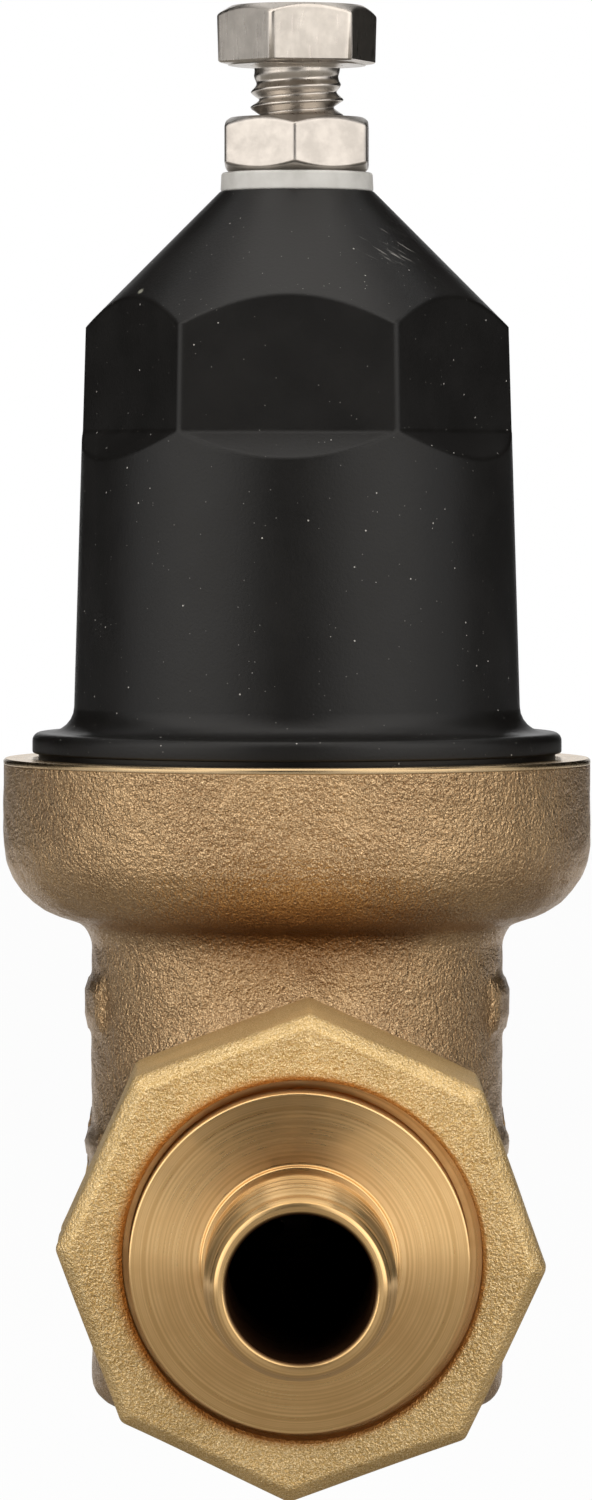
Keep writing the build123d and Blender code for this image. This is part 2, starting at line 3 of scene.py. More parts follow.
import bmesh
import bpy
import numpy as np
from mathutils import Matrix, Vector


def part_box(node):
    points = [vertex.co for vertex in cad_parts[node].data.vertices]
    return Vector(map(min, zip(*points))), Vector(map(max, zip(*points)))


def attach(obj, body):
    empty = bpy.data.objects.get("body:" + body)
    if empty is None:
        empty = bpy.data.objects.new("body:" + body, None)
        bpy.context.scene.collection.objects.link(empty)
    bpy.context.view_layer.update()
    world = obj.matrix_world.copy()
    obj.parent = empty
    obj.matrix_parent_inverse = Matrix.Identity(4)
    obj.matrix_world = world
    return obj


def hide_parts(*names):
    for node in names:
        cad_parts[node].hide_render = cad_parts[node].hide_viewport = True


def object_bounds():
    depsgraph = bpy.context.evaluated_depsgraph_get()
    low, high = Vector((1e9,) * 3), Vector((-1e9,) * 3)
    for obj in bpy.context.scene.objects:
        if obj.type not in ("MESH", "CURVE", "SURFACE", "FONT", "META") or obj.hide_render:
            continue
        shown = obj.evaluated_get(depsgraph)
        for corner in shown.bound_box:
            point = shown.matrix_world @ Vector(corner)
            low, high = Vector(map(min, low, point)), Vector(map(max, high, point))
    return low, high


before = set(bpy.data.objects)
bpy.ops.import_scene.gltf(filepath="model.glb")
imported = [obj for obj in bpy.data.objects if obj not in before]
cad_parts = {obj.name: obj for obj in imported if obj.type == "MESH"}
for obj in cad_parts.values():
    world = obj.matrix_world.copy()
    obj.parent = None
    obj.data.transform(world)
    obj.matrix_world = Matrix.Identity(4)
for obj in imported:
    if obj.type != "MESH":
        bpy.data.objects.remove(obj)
cad_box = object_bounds()

MM = 0.001


# ---- Studio ----------------------------------------------------------------------------
# A white sweep with nothing else in the room, a tall soft box each side of the lens and one
# overhead. The metal reflects black flags behind the boxes, behind the lens and beside the
# valve, and a grey felt mat that only reflections meet.
bpy.context.scene.view_settings.view_transform = "Standard"

LENS_PLACE = Vector((-0.0034, -0.756, 0.07345))
LENS_AIM = Vector((-0.0001, 0, 0.04635))
LENS_LENGTH = 180.5
FLOOR_DROP = 0.057
FLOOR_SIDE = 6.0
FLOOR_GLOW = 0.96
MAT_LIFT = 0.002
MAT_CENTRE = -0.2
MAT_SIZE = (1.6, 1.1)
ROOM_LIGHT = 0.35
LAMP_CENTRE = Vector((0, 0, 0.05))
LAMP_COLOUR = (1.0, 0.975, 0.94)
FLAG_BLACK = (0.012, 0.012, 0.012)
FELT_GREY = (0.36, 0.345, 0.32)


def seen_as_background(tree):
    """1 for camera, mirror and glass rays, which meet plain white, and 0 for the light itself."""
    path = tree.nodes.new("ShaderNodeLightPath")
    share = path.outputs["Is Camera Ray"]
    for ray in ("Is Glossy Ray", "Is Transmission Ray"):
        either = tree.nodes.new("ShaderNodeMath")
        either.operation = "MAXIMUM"
        tree.links.new(share, either.inputs[0])
        tree.links.new(path.outputs[ray], either.inputs[1])
        share = either.outputs[0]
    return share


def mixed(tree, share, first, second, output):
    """Blend two shaders into an output by a share."""
    blend = tree.nodes.new("ShaderNodeMixShader")
    tree.links.new(share, blend.inputs[0])
    tree.links.new(first, blend.inputs[1])
    tree.links.new(second, blend.inputs[2])
    tree.links.new(blend.outputs[0], output)


world = bpy.data.worlds.new("studio_air")
bpy.context.scene.world = world
world.use_nodes = True
air = world.node_tree
air.nodes.clear()
fill = air.nodes.new("ShaderNodeBackground")
fill.inputs["Color"].default_value = (1.0, 0.985, 0.96, 1)
fill.inputs["Strength"].default_value = ROOM_LIGHT
white = air.nodes.new("ShaderNodeBackground")
white.inputs["Color"].default_value = (1, 1, 1, 1)
white.inputs["Strength"].default_value = 1.0
sky = air.nodes.new("ShaderNodeOutputWorld")
mixed(air, seen_as_background(air), fill.outputs[0], white.outputs[0], sky.inputs["Surface"])


def card(name, centre, size, facing):
    """A flat rectangle of the studio, its face turned towards a point."""
    mesh = bpy.data.meshes.new(name)
    w, h = size[0] / 2, size[1] / 2
    mesh.from_pydata([(-w, -h, 0), (w, -h, 0), (w, h, 0), (-w, h, 0)], [], [(0, 1, 2, 3)])
    obj = bpy.data.objects.new(name, mesh)
    bpy.context.scene.collection.objects.link(obj)
    obj.location = centre
    obj.rotation_euler = (Vector(facing) - Vector(centre)).to_track_quat("Z", "Y").to_euler()
    return obj


def new_material(name):
    """A node material, its tree and its Principled shader."""
    material = bpy.data.materials.new(name)
    material.use_nodes = True
    tree = material.node_tree
    return material, tree, tree.nodes["Principled BSDF"]


straight_up = Vector((0, 0, 10))
floor_height = cad_box[0][2] - FLOOR_DROP
floor = card("floor", (0, 0, floor_height), (FLOOR_SIDE, FLOOR_SIDE), straight_up)
paper, sweep, matt = new_material("white_sweep")
matt.inputs["Base Color"].default_value = (0.85, 0.85, 0.84, 1)
matt.inputs["Roughness"].default_value = 0.9
glow = sweep.nodes.new("ShaderNodeEmission")
glow.inputs["Color"].default_value = (1, 1, 1, 1)
part_white = sweep.nodes.new("ShaderNodeMath")
part_white.operation = "MULTIPLY"
part_white.inputs[1].default_value = FLOOR_GLOW
sweep.links.new(seen_as_background(sweep), part_white.inputs[0])
paper_out = sweep.nodes["Material Output"].inputs["Surface"]
mixed(sweep, part_white.outputs[0], matt.outputs[0], glow.outputs[0], paper_out)
floor.data.materials.append(paper)


def about_the_valve(azimuth, elevation, distance):
    """A point of the studio: azimuth from the lens towards +X, elevation up, in degrees."""
    side, up = math.radians(azimuth), math.radians(elevation)
    flat = distance * math.cos(up)
    return LAMP_CENTRE + Vector((flat * math.sin(side), -flat * math.cos(side), distance * math.sin(up)))


for name, azimuth, elevation, distance, size, power in (
    ("soft_box_left", -53, 31, 1.1, (1.02, 1.75), 11.0),
    ("soft_box_right", 45, 31, 1.1, (1.0, 1.75), 10.8),
    ("soft_box_top", 0, 89, 1.1, (1.0, 0.8), 5.0),
):
    lamp = bpy.data.lights.new(name, "AREA")
    lamp.shape = "RECTANGLE"
    lamp.size, lamp.size_y = size
    lamp.energy = power
    lamp.color = LAMP_COLOUR
    holder = bpy.data.objects.new(name, lamp)
    bpy.context.scene.collection.objects.link(holder)
    holder.location = about_the_valve(azimuth, elevation, distance)
    holder.rotation_euler = (LAMP_CENTRE - holder.location).to_track_quat("-Z", "Y").to_euler()


def dull_cloth(name, colour):
    """A cloth without any shine."""
    material, tree, shader = new_material(name)
    shader.inputs["Base Color"].default_value = (*colour, 1)
    shader.inputs["Roughness"].default_value = 1.0
    shader.inputs["Specular IOR Level"].default_value = 0.0
    return material


black_cloth = dull_cloth("black_flag", FLAG_BLACK)
for name, azimuth, elevation, distance, size in (
    ("flag_lens", -4, 28, 1.7, (1.0, 2.1)),
    ("box_back_top", 0, 89, 1.16, (1.5, 1.3)),
    ("box_back_left", -53, 31, 1.16, (1.07, 1.84)),
    ("box_back_right", 45, 31, 1.16, (1.05, 1.84)),
    ("flag_left", -132, 8, 1.2, (1.62, 1.9)),
    ("flag_right", 130, 8, 1.2, (1.75, 1.9)),
):
    flag = card(name, about_the_valve(azimuth, elevation, distance), size, LAMP_CENTRE)
    flag.data.materials.append(black_cloth)
    flag.visible_camera = False
mat_place = Vector((0, MAT_CENTRE, floor_height + MAT_LIFT))
mat = card("floor_mat", mat_place, MAT_SIZE, mat_place + straight_up)
mat.data.materials.append(dull_cloth("grey_felt", FELT_GREY))
mat.visible_camera = False
mat.visible_diffuse = False
mat.visible_shadow = False

lens = bpy.data.cameras.new("camera")
lens.lens = LENS_LENGTH
lens.sensor_width = 36.0
lens.clip_end = 20
camera = bpy.data.objects.new("camera", lens)
bpy.context.scene.collection.objects.link(camera)
camera.location = LENS_PLACE
camera.rotation_euler = (LENS_AIM - LENS_PLACE).to_track_quat("-Z", "Y").to_euler()
bpy.context.scene.camera = camera


# ---- Body casting ----------------------------------------------------------------------
# The sand-cast bronze body: a diaphragm cup, a barrel and a boss for each port, with deep
# foundry fillets, a parting line fore and aft, and a raised bar and flow arrow on each
# cheek. Its seats, bores, rim and threads are machined afterwards.
BARREL_RADIUS = 20.67
BOSS_RADIUS = 18.6
BOSS_BLEND = 5.2
BOSS_END = 28.95
BOSS_OVERRUN = 3.0
RIM_LINE = 0.62
LINER_RADIUS = 27.6
LINER_LEVEL = 36.6
CHAMBER_RADIUS = 20.0
CHAMBER_FLOOR = 32.5
CARTRIDGE_BORE = 12.22
CARTRIDGE_SEAT = 20.0
LOWER_BORE = 10.82
LOWER_FLOOR = -15.5
OUTLET_BORE_START = 14.22
PORT_BORE = 9.5
MARK_PROUD = 0.62
MARK_BLEND = 1.2
MARK_MARGIN = 0.15
PARTING_PROUD = 0.09
PARTING_ASIDE = 0.3
PARTING_WIDTH = 0.4
SKIN_STEP = 0.48
SKIN_PASSES = 7
# A darker patch on the body's front under the cup's flare: painted shade where the cup overhangs the barrel.
UNDER_CUP_SHADE = {"Centre": (0.001, -0.022, 0.0293), "Reach": (0.020, 0.012, 0.0062)}


def in_mm(node):
    """A CAD node's lowest and highest corner, in millimetres."""
    low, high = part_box(node)
    return low / MM, high / MM


def softer(a, b, width):
    """The lower of two surfaces, rolled over where they meet."""
    overlap = np.maximum(width - np.abs(a - b), 0) / width
    return np.minimum(a, b) - overlap * overlap * width / 4


def full_turn(count):
    """Even angles right round the axis."""
    return np.arange(count) * 2 * math.pi / count


def rounded(points, segments=5):
    """Outline points of (radius, height, rounding), with an arc for each rounding."""
    out = []
    for i, (x, y, rounding) in enumerate(points):
        here = np.array((x, y))
        if rounding == 0:
            out.append(here)
            continue
        back = np.array(points[i - 1][:2]) - here
        ahead = np.array(points[(i + 1) % len(points)][:2]) - here
        back /= np.linalg.norm(back)
        ahead /= np.linalg.norm(ahead)
        half = math.acos(max(-1, min(1, float(back @ ahead)))) / 2
        middle = back + ahead
        centre = here + middle / np.linalg.norm(middle) * rounding / math.sin(half)
        start = here + back * rounding / math.tan(half) - centre
        end = here + ahead * rounding / math.tan(half) - centre
        sweep = math.pi - 2 * half
        for k in range(segments + 1):
            t = k / segments
            mix = (math.sin((1 - t) * sweep) * start + math.sin(t * sweep) * end) / math.sin(sweep)
            out.append(centre + mix)
    return out


def mesh_object(name, points, faces):
    """A smooth mesh object from points in millimetres, its doubled points joined."""
    mesh = bpy.data.meshes.new(name)
    mesh.from_pydata((np.asarray(points) * MM).tolist(), [], faces)
    work = bmesh.new()
    work.from_mesh(mesh)
    bmesh.ops.remove_doubles(work, verts=work.verts, dist=2e-6)
    bmesh.ops.dissolve_degenerate(work, edges=work.edges, dist=1e-6)
    bmesh.ops.recalc_face_normals(work, faces=work.faces)
    work.to_mesh(mesh)
    work.free()
    mesh.shade_smooth()
    obj = bpy.data.objects.new(name, mesh)
    bpy.context.scene.collection.objects.link(obj)
    return obj


def turned(name, outline, angles, shape=None, along="Z"):
    """Turn an outline in millimetres round an axis, as on a lathe, into a mesh object."""
    outline = np.array([p[:2] for p in outline], float)
    a, r = np.meshgrid(angles, outline[:, 0], indexing="ij")
    h = np.broadcast_to(outline[:, 1], a.shape)
    if shape is not None:
        r = shape(r, a, h)
    across, up = r * np.cos(a), r * np.sin(a)
    points = np.stack([across, up, h] if along == "Z" else [across, h, up], -1)
    columns, rows = a.shape
    i, j = np.meshgrid(np.arange(columns), np.arange(rows - 1), indexing="ij")
    right = (i + 1) % columns
    quads = np.stack([i * rows + j, right * rows + j, right * rows + j + 1, i * rows + j + 1], -1)
    return mesh_object(name, points.reshape(-1, 3), quads.reshape(-1, 4).tolist())


def joined(name, *objects):
    """Several shells of one piece as one mesh."""
    work = bmesh.new()
    for obj in objects:
        work.from_mesh(obj.data)
    mesh = bpy.data.meshes.new(name)
    work.to_mesh(mesh)
    work.free()
    for obj in objects:
        bpy.data.objects.remove(obj)
    mesh.shade_smooth()
    piece = bpy.data.objects.new(name, mesh)
    bpy.context.scene.collection.objects.link(piece)
    return piece


def settle(obj):
    """Turn an object's modifiers into its mesh."""
    seen = obj.evaluated_get(bpy.context.evaluated_depsgraph_get())
    mesh = bpy.data.meshes.new_from_object(seen)
    obj.modifiers.clear()
    obj.data = mesh


def machined(obj, *cutters):
    """Cut solids out of a piece, as the machine shop does."""
    for cutter in cutters:
        cut = obj.modifiers.new("cut", "BOOLEAN")
        cut.operation = "DIFFERENCE"
        cut.solver = "MANIFOLD"
        cut.object = cutter
    settle(obj)
    for cutter in cutters:
        bpy.data.objects.remove(cutter)


def stands_for(piece, node, body, material):
    """Hang a piece on its body in place of its CAD node, with its finish."""
    piece.data.materials.clear()
    piece.data.materials.append(material)
    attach(piece, body)
    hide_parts(node)


def outline_distance(x, y, outline):
    """Distance from points to a closed outline, negative inside it."""
    nearest = np.full(x.shape, np.inf)
    inside = np.zeros(x.shape, bool)
    outline = [np.array(p[:2], float) for p in outline]
    for here, there in zip(outline, outline[1:] + outline[:1]):
        ex, ey = there - here
        dx, dy = x - here[0], y - here[1]
        share = np.clip((dx * ex + dy * ey) / (ex * ex + ey * ey), 0, 1)
        nearest = np.minimum(nearest, (dx - share * ex) ** 2 + (dy - share * ey) ** 2)
        if ey:
            inside ^= ((here[1] > y) != (there[1] > y)) & (dx < dy * ex / ey)
    return np.sqrt(nearest) * np.where(inside, -1, 1)


body_low, body_high = in_mm("body")
cup_radius = body_high.x
rim_top = body_high.z
body_bottom = body_low.z
port_end = body_high.y
cup_side = rounded([
    (-5, body_bottom, 0),
    (BARREL_RADIUS, body_bottom, 2.7),
    (BARREL_RADIUS, 26.9, 0),
    (20.9, 27.8, 0),
    (21.35, 28.55, 0),
    (21.95, 29.02, 0),
    (23.1, 29.44, 0),
    (24.4, 29.86, 0),
    (25.4, 30.32, 0),
    (26.6, 31.16, 0),
    (27.7, 32.25, 0),
    (28.6, 33.6, 0),
    (29.2, 35.1, 0),
    (cup_radius - 0.05, 36.9, 0),
    (cup_radius - 0.02, 38.4, 0),
    (cup_radius - 0.02, rim_top + 2, 0),
    (-5, rim_top + 2, 0),
])
bar = [(-7.5, 18.7), (7.5, 18.7), (7.5, 23.3), (-7.5, 23.3)]
arrow = [(-8.5, 6), (2.5, 6), (2.5, 4), (8.5, 7), (2.5, 10), (2.5, 8), (-8.5, 8)]


def casting_skin(p):
    """How far points lie outside the casting's surface."""
    x, y, z = p.T
    barrel = outline_distance(np.hypot(x, y), z, cup_side)
    boss = np.maximum(np.hypot(x, z) - BOSS_RADIUS, np.abs(y) - BOSS_END - BOSS_OVERRUN)
    skin = softer(barrel, boss, BOSS_BLEND)
    proud = np.hypot(x, y) - BARREL_RADIUS - MARK_PROUD
    for mark in (bar, arrow):
        raised = np.maximum(proud, outline_distance(y, z, mark) + MARK_MARGIN)
        skin = softer(skin, raised, MARK_BLEND)
    wander = np.sin(0.9 * x + 1.3 * z) * np.sin(1.1 * y - 0.7 * z + 1) * 0.035
    wander += np.sin(0.37 * x - 0.41 * y + 2) * np.sin(0.33 * z + 0.5 * x) * 0.05
    parting_line = PARTING_PROUD * np.exp(-((x - PARTING_ASIDE) / PARTING_WIDTH) ** 2)
    return skin - np.where(z < rim_top - 3, wander + parting_line, 0)


rough_barrel = turned("rough_barrel", [(max(p[0], 0), p[1]) for p in cup_side], full_turn(180))
boss_reach = BOSS_END + BOSS_OVERRUN
boss_outline = [(0, -boss_reach), (BOSS_RADIUS, -boss_reach), (BOSS_RADIUS, boss_reach), (0, boss_reach)]
rough_boss = turned("rough_boss", boss_outline, full_turn(180), along="Y")
casting = joined("body_casting", rough_barrel, rough_boss)
skin_mesh = casting.modifiers.new("skin", "REMESH")
skin_mesh.mode = "VOXEL"
skin_mesh.voxel_size = SKIN_STEP * MM
settle(casting)
skin = np.zeros(len(casting.data.vertices) * 3)
casting.data.vertices.foreach_get("co", skin)
skin = skin.reshape(-1, 3) / MM
nudge = 0.02
for _ in range(SKIN_PASSES):
    outside = casting_skin(skin)
    slope = np.stack([casting_skin(skin + nudge * axis) - outside for axis in np.eye(3)], -1) / nudge
    steep = np.maximum((slope * slope).sum(1), 0.2)
    skin = skin - slope * np.clip(outside / steep, -0.8, 0.8)[:, None]
casting.data.vertices.foreach_set("co", (skin * MM).ravel())

past = 5.0
cavity = turned("cavity", [
    (0, LOWER_FLOOR),
    (LOWER_BORE, LOWER_FLOOR),
    (LOWER_BORE, CARTRIDGE_SEAT),
    (CARTRIDGE_BORE, CARTRIDGE_SEAT),
    (CARTRIDGE_BORE, CHAMBER_FLOOR),
    (CHAMBER_RADIUS, CHAMBER_FLOOR),
    (CHAMBER_RADIUS, LINER_LEVEL),
    (LINER_RADIUS, LINER_LEVEL),
    (LINER_RADIUS, rim_top - RIM_LINE),
    (cup_radius + past, rim_top - RIM_LINE),
    (cup_radius + past, rim_top + past),
    (0, rim_top + past),
], full_turn(240))
port_cutters = []
for side, inner in ((-1, 0), (1, OUTLET_BORE_START)):
    bore_and_face = [
        (0, inner),
        (PORT_BORE + 0.6, inner),
        (PORT_BORE + 0.6, BOSS_END),
        (BOSS_RADIUS + 8, BOSS_END),
        (BOSS_RADIUS + 8, BOSS_END + 6),
        (0, BOSS_END + 6),
    ]
    bore_and_face = [(r, y * side) for r, y in bore_and_face]
    port_cutters.append(turned("port_bore", bore_and_face, full_turn(144), along="Y"))
machined(casting, cavity, *port_cutters)
casting.data.shade_smooth()


def socket_group(name, inputs, outputs):
    """An empty shader node group with its sockets, and its two end nodes."""
    tree = bpy.data.node_groups.new(name, "ShaderNodeTree")
    for label, kind, value in inputs:
        socket = tree.interface.new_socket(label, in_out="INPUT", socket_type=kind)
        socket.default_value = value
    for label, kind in outputs:
        tree.interface.new_socket(label, in_out="OUTPUT", socket_type=kind)
    return tree, tree.nodes.new("NodeGroupInput"), tree.nodes.new("NodeGroupOutput")


def feed(tree, target, value):
    """Give an input a link or a plain number."""
    if isinstance(value, (int, float)):
        target.default_value = value
    else:
        tree.links.new(value, target)


def math_node(tree, operation, *values):
    """One Math node, fed with sockets or plain numbers."""
    node = tree.nodes.new("ShaderNodeMath")
    node.operation = operation
    for target, value in zip(node.inputs, values):
        feed(tree, target, value)
    return node.outputs[0]


def vector_node(tree, operation, first, second=None):
    """One Vector Math node."""
    node = tree.nodes.new("ShaderNodeVectorMath")
    node.operation = operation
    tree.links.new(first, node.inputs[0])
    if second is not None:
        tree.links.new(second, node.inputs[1])
    return node


def noise_node(tree, vector, scale, detail=2.0, roughness=0.5):
    """One Noise node, its value output."""
    node = tree.nodes.new("ShaderNodeTexNoise")
    tree.links.new(vector, node.inputs["Vector"])
    feed(tree, node.inputs["Scale"], scale)
    node.inputs["Detail"].default_value = detail
    node.inputs["Roughness"].default_value = roughness
    return node.outputs["Fac"]


def spread(tree, value, low, high):
    """Spread a value's range from low to high over 0 to 1, smoothly."""
    node = tree.nodes.new("ShaderNodeMapRange")
    node.interpolation_type = "SMOOTHSTEP"
    tree.links.new(value, node.inputs["Value"])
    feed(tree, node.inputs["From Min"], low)
    feed(tree, node.inputs["From Max"], high)
    return node.outputs["Result"]


def tint(tree, amount, first, second):
    """Mix two colours, each a socket or a plain colour."""
    node = tree.nodes.new("ShaderNodeMix")
    node.data_type = "RGBA"
    feed(tree, node.inputs["Factor"], amount)
    for label, value in (("A", first), ("B", second)):
        target = [s for s in node.inputs if s.name == label and s.type == "RGBA"][0]
        if isinstance(value, tuple):
            target.default_value = (*value, 1)
        else:
            tree.links.new(value, target)
    return [s for s in node.outputs if s.type == "RGBA"][0]


def on_the_piece(tree):
    """Places on the piece itself, in metres."""
    return tree.nodes.new("ShaderNodeTexCoord").outputs["Object"]


# Sand-cast skin: the print of the mould's sand, lighter grains, and stains from the furnace.
sand_cast, sand_in, sand_out = socket_group(
    "sand_cast",
    [("Grains", "NodeSocketFloat", 2600), ("Stains", "NodeSocketFloat", 90)],
    [("Height", "NodeSocketFloat"), ("Grain", "NodeSocketFloat"), ("Stain", "NodeSocketFloat")],
)
place = on_the_piece(sand_cast)
grains = sand_in.outputs["Grains"]
sand = noise_node(sand_cast, place, grains, 2, 0.5)
finer = noise_node(sand_cast, place, math_node(sand_cast, "MULTIPLY", grains, 2.3), 2)
lumps = noise_node(sand_cast, place, math_node(sand_cast, "MULTIPLY", grains, 0.28), 2)
print_of_sand = math_node(sand_cast, "MULTIPLY_ADD", finer, 0.45, sand)
print_of_sand = math_node(sand_cast, "MULTIPLY_ADD", lumps, 0.8, print_of_sand)
sand_cast.links.new(print_of_sand, sand_out.inputs["Height"])
sand_cast.links.new(spread(sand_cast, finer, 0.36, 0.74), sand_out.inputs["Grain"])
stain = noise_node(sand_cast, place, sand_in.outputs["Stains"], 4, 0.6)
sand_cast.links.new(spread(sand_cast, stain, 0.38, 0.68), sand_out.inputs["Stain"])

# A soft-edged patch round one point of the piece: 1 at its centre, 0 at its edge.
soft_patch, patch_in, patch_out = socket_group(
    "soft_patch",
    [("Centre", "NodeSocketVector", (0, 0, 0)), ("Reach", "NodeSocketVector", (1, 1, 1))],
    [("Mask", "NodeSocketFloat")],
)
offset = vector_node(soft_patch, "SUBTRACT", on_the_piece(soft_patch), patch_in.outputs["Centre"]).outputs[0]
scaled = vector_node(soft_patch, "DIVIDE", offset, patch_in.outputs["Reach"]).outputs[0]
far_off = spread(soft_patch, vector_node(soft_patch, "LENGTH", scaled).outputs["Value"], 0.35, 1.0)
soft_patch.links.new(math_node(soft_patch, "SUBTRACT", 1.0, far_off), patch_out.inputs["Mask"])


def use_group(tree, group, **values):
    """Place a node group in a material with its own values."""
    node = tree.nodes.new("ShaderNodeGroup")
    node.node_tree = group
    for label, value in values.items():
        node.inputs[label].default_value = value
    return node


def relief(tree, shader, height, strength, distance):
    """Feed a height to the shader's normal."""
    node = tree.nodes.new("ShaderNodeBump")
    node.inputs["Strength"].default_value = strength
    node.inputs["Distance"].default_value = distance
    tree.links.new(height, node.inputs["Height"])
    tree.links.new(node.outputs["Normal"], shader.inputs["Normal"])


def surface(tree, shader, colour, roughness, metallic=0.0):
    """Give the shader its colour, its roughness, a socket or a plain number, and its metal."""
    tree.links.new(colour, shader.inputs["Base Color"])
    feed(tree, shader.inputs["Roughness"], roughness)
    shader.inputs["Metallic"].default_value = metallic


def cast_metal(name, grains, stains, dark, light, bright, roughness, depth):
    """Metal with its sand-cast skin, in two tones of stain and a brighter one on the grains."""
    material, tree, shader = new_material(name)
    skin = use_group(tree, sand_cast, Grains=grains, Stains=stains)
    base = tint(tree, skin.outputs["Stain"], dark, light)
    rough = math_node(tree, "MULTIPLY_ADD", skin.outputs["Grain"], -0.10, roughness)
    surface(tree, shader, tint(tree, skin.outputs["Grain"], base, bright), rough, 1.0)
    relief(tree, shader, skin.outputs["Height"], 1.0, depth)
    return material


def stained(material, colour, share, group, **values):
    """Lay another colour over a material where a group's mask says."""
    tree = material.node_tree
    base = tree.nodes["Principled BSDF"].inputs["Base Color"]
    amount = math_node(tree, "MULTIPLY", use_group(tree, group, **values).outputs["Mask"], share)
    tree.links.new(tint(tree, amount, base.links[0].from_socket, colour), base)


bronze = cast_metal(
    "cast_bronze", 2900, 75, (0.30, 0.175, 0.083), (0.45, 0.285, 0.142), (0.76, 0.54, 0.31), 0.35, 0.00021
)
# Darkens the front of the body just under the cup's flare: painted shade of the cup's overhang.
stained(bronze, (0.17, 0.072, 0.026), 0.5, soft_patch, **UNDER_CUP_SHADE)
stands_for(casting, "body", "valve", bronze)


# ---- Machined rim and port threads -----------------------------------------------------
# What the lathe leaves bright on the body: the cup's rim and bore, where the bonnet screws
# in, and the two threaded port ends with their gasket faces.
RIM_BORE = 26.1
THREAD_CREST = 19.3
THREAD_ROOT = 18.2
UNION_PITCH = 1.8143
THREAD_STEP = 0.15


def stepped(points, gap, straight_too=False):
    """The same outline with its sloping stretches, or all of them, in steps of about gap."""
    out = []
    for here, there in zip(points, points[1:]):
        here, there = np.array(here[:2]), np.array(there[:2])
        reach = np.abs(there - here)
        parts = 1
        if straight_too or reach.min() > 1e-6:
            parts = max(1, int(round(np.linalg.norm(reach) / gap)))
        out += [here + (there - here) * k / parts for k in range(parts)]
    return out + [np.array(points[-1][:2])]


def thread_cut(pitch, level, a, h, hand):
    """How deep into a 60 degree thread each point lies: 0 on the crest, 1 at the root."""
    turns = (h - level) / pitch - hand * (a - math.pi) / (2 * math.pi)
    from_crest = np.abs(np.mod(turns + 0.5, 1) - 0.5) * 2
    flank, crest_flat = 1.25, 0.13
    return np.clip(from_crest * flank - crest_flat, 0, 1)


def even_shading(obj):
    """Let wide faces keep their own direction beside narrow rolled edges."""
    normals = obj.modifiers.new("even_shading", "WEIGHTED_NORMAL")
    normals.weight = 60


def port_thread(r, a, h):
    """The union's right-hand thread, dying out at the boss."""
    fade = np.clip((np.abs(h) - BOSS_END - 0.2) / 1.2, 0, 1)
    cut = (THREAD_CREST - THREAD_ROOT) * thread_cut(UNION_PITCH, 0, a, h, -1) * fade
    return np.where(r > THREAD_ROOT, r - np.minimum(r - THREAD_ROOT, cut), r)


rim = turned("machined_rim", rounded([
    (RIM_BORE, LINER_LEVEL, 0),
    (RIM_BORE, rim_top - 0.4, 0.1),
    (RIM_BORE + 0.4, rim_top, 0.1),
    (cup_radius - 0.2, rim_top, 0.08),
    (cup_radius, rim_top - 0.2, 0.08),
    (cup_radius, rim_top - RIM_LINE, 0.1),
    (LINER_RADIUS, rim_top - RIM_LINE, 0),
    (LINER_RADIUS, LINER_LEVEL, 0),
    (RIM_BORE, LINER_LEVEL, 0),
], 3), full_turn(360))
even_shading(rim)

port_ends = []
for side in (-1, 1):
    outline = [
        (PORT_BORE, BOSS_END * side),
        (THREAD_ROOT, BOSS_END * side),
        (THREAD_ROOT, (BOSS_END + 0.3) * side),
        (THREAD_CREST, (BOSS_END + 1.4) * side),
        (THREAD_CREST, (port_end - 1.15) * side),
        (THREAD_ROOT, port_end * side),
        (PORT_BORE + 0.4, port_end * side),
        (PORT_BORE, (port_end - 0.4) * side),
        (PORT_BORE, BOSS_END * side),
    ]
    thread_part = stepped(outline[2:6], THREAD_STEP, True)
    closed = outline[:2] + thread_part + outline[6:]
    port_ends.append(turned("port_end", closed, full_turn(180), port_thread, along="Y"))
ports = joined("port_threads", *port_ends)
even_shading(ports)

# Lathe work: fine rings left by the tool, dulled here and there by handling.
lathe_work, lathe_in, lathe_out = socket_group(
    "lathe_work",
    [
        ("Across", "NodeSocketVector", (1, 1, 0)),
        ("Along", "NodeSocketVector", (0, 0, 1)),
        ("Rings", "NodeSocketFloat", 3500),
    ],
    [("Height", "NodeSocketFloat"), ("Ring", "NodeSocketFloat"), ("Dulled", "NodeSocketFloat")],
)
place = on_the_piece(lathe_work)
flattened = vector_node(lathe_work, "MULTIPLY", place, lathe_in.outputs["Across"]).outputs[0]
radius = vector_node(lathe_work, "LENGTH", flattened).outputs["Value"]
height = vector_node(lathe_work, "DOT_PRODUCT", place, lathe_in.outputs["Along"]).outputs["Value"]
ring_place = lathe_work.nodes.new("ShaderNodeCombineXYZ")
lathe_work.links.new(radius, ring_place.inputs["X"])
lathe_work.links.new(height, ring_place.inputs["Y"])
rings = noise_node(lathe_work, ring_place.outputs[0], lathe_in.outputs["Rings"], 3, 0.65)
lathe_work.links.new(rings, lathe_out.inputs["Height"])
fewer = math_node(lathe_work, "MULTIPLY", lathe_in.outputs["Rings"], 0.8)
wide_rings = noise_node(lathe_work, ring_place.outputs[0], fewer, 2)
lathe_work.links.new(spread(lathe_work, wide_rings, 0.35, 0.65), lathe_out.inputs["Ring"])
dulled = noise_node(lathe_work, place, 260, 4, 0.6)
lathe_work.links.new(spread(lathe_work, dulled, 0.4, 0.72), lathe_out.inputs["Dulled"])


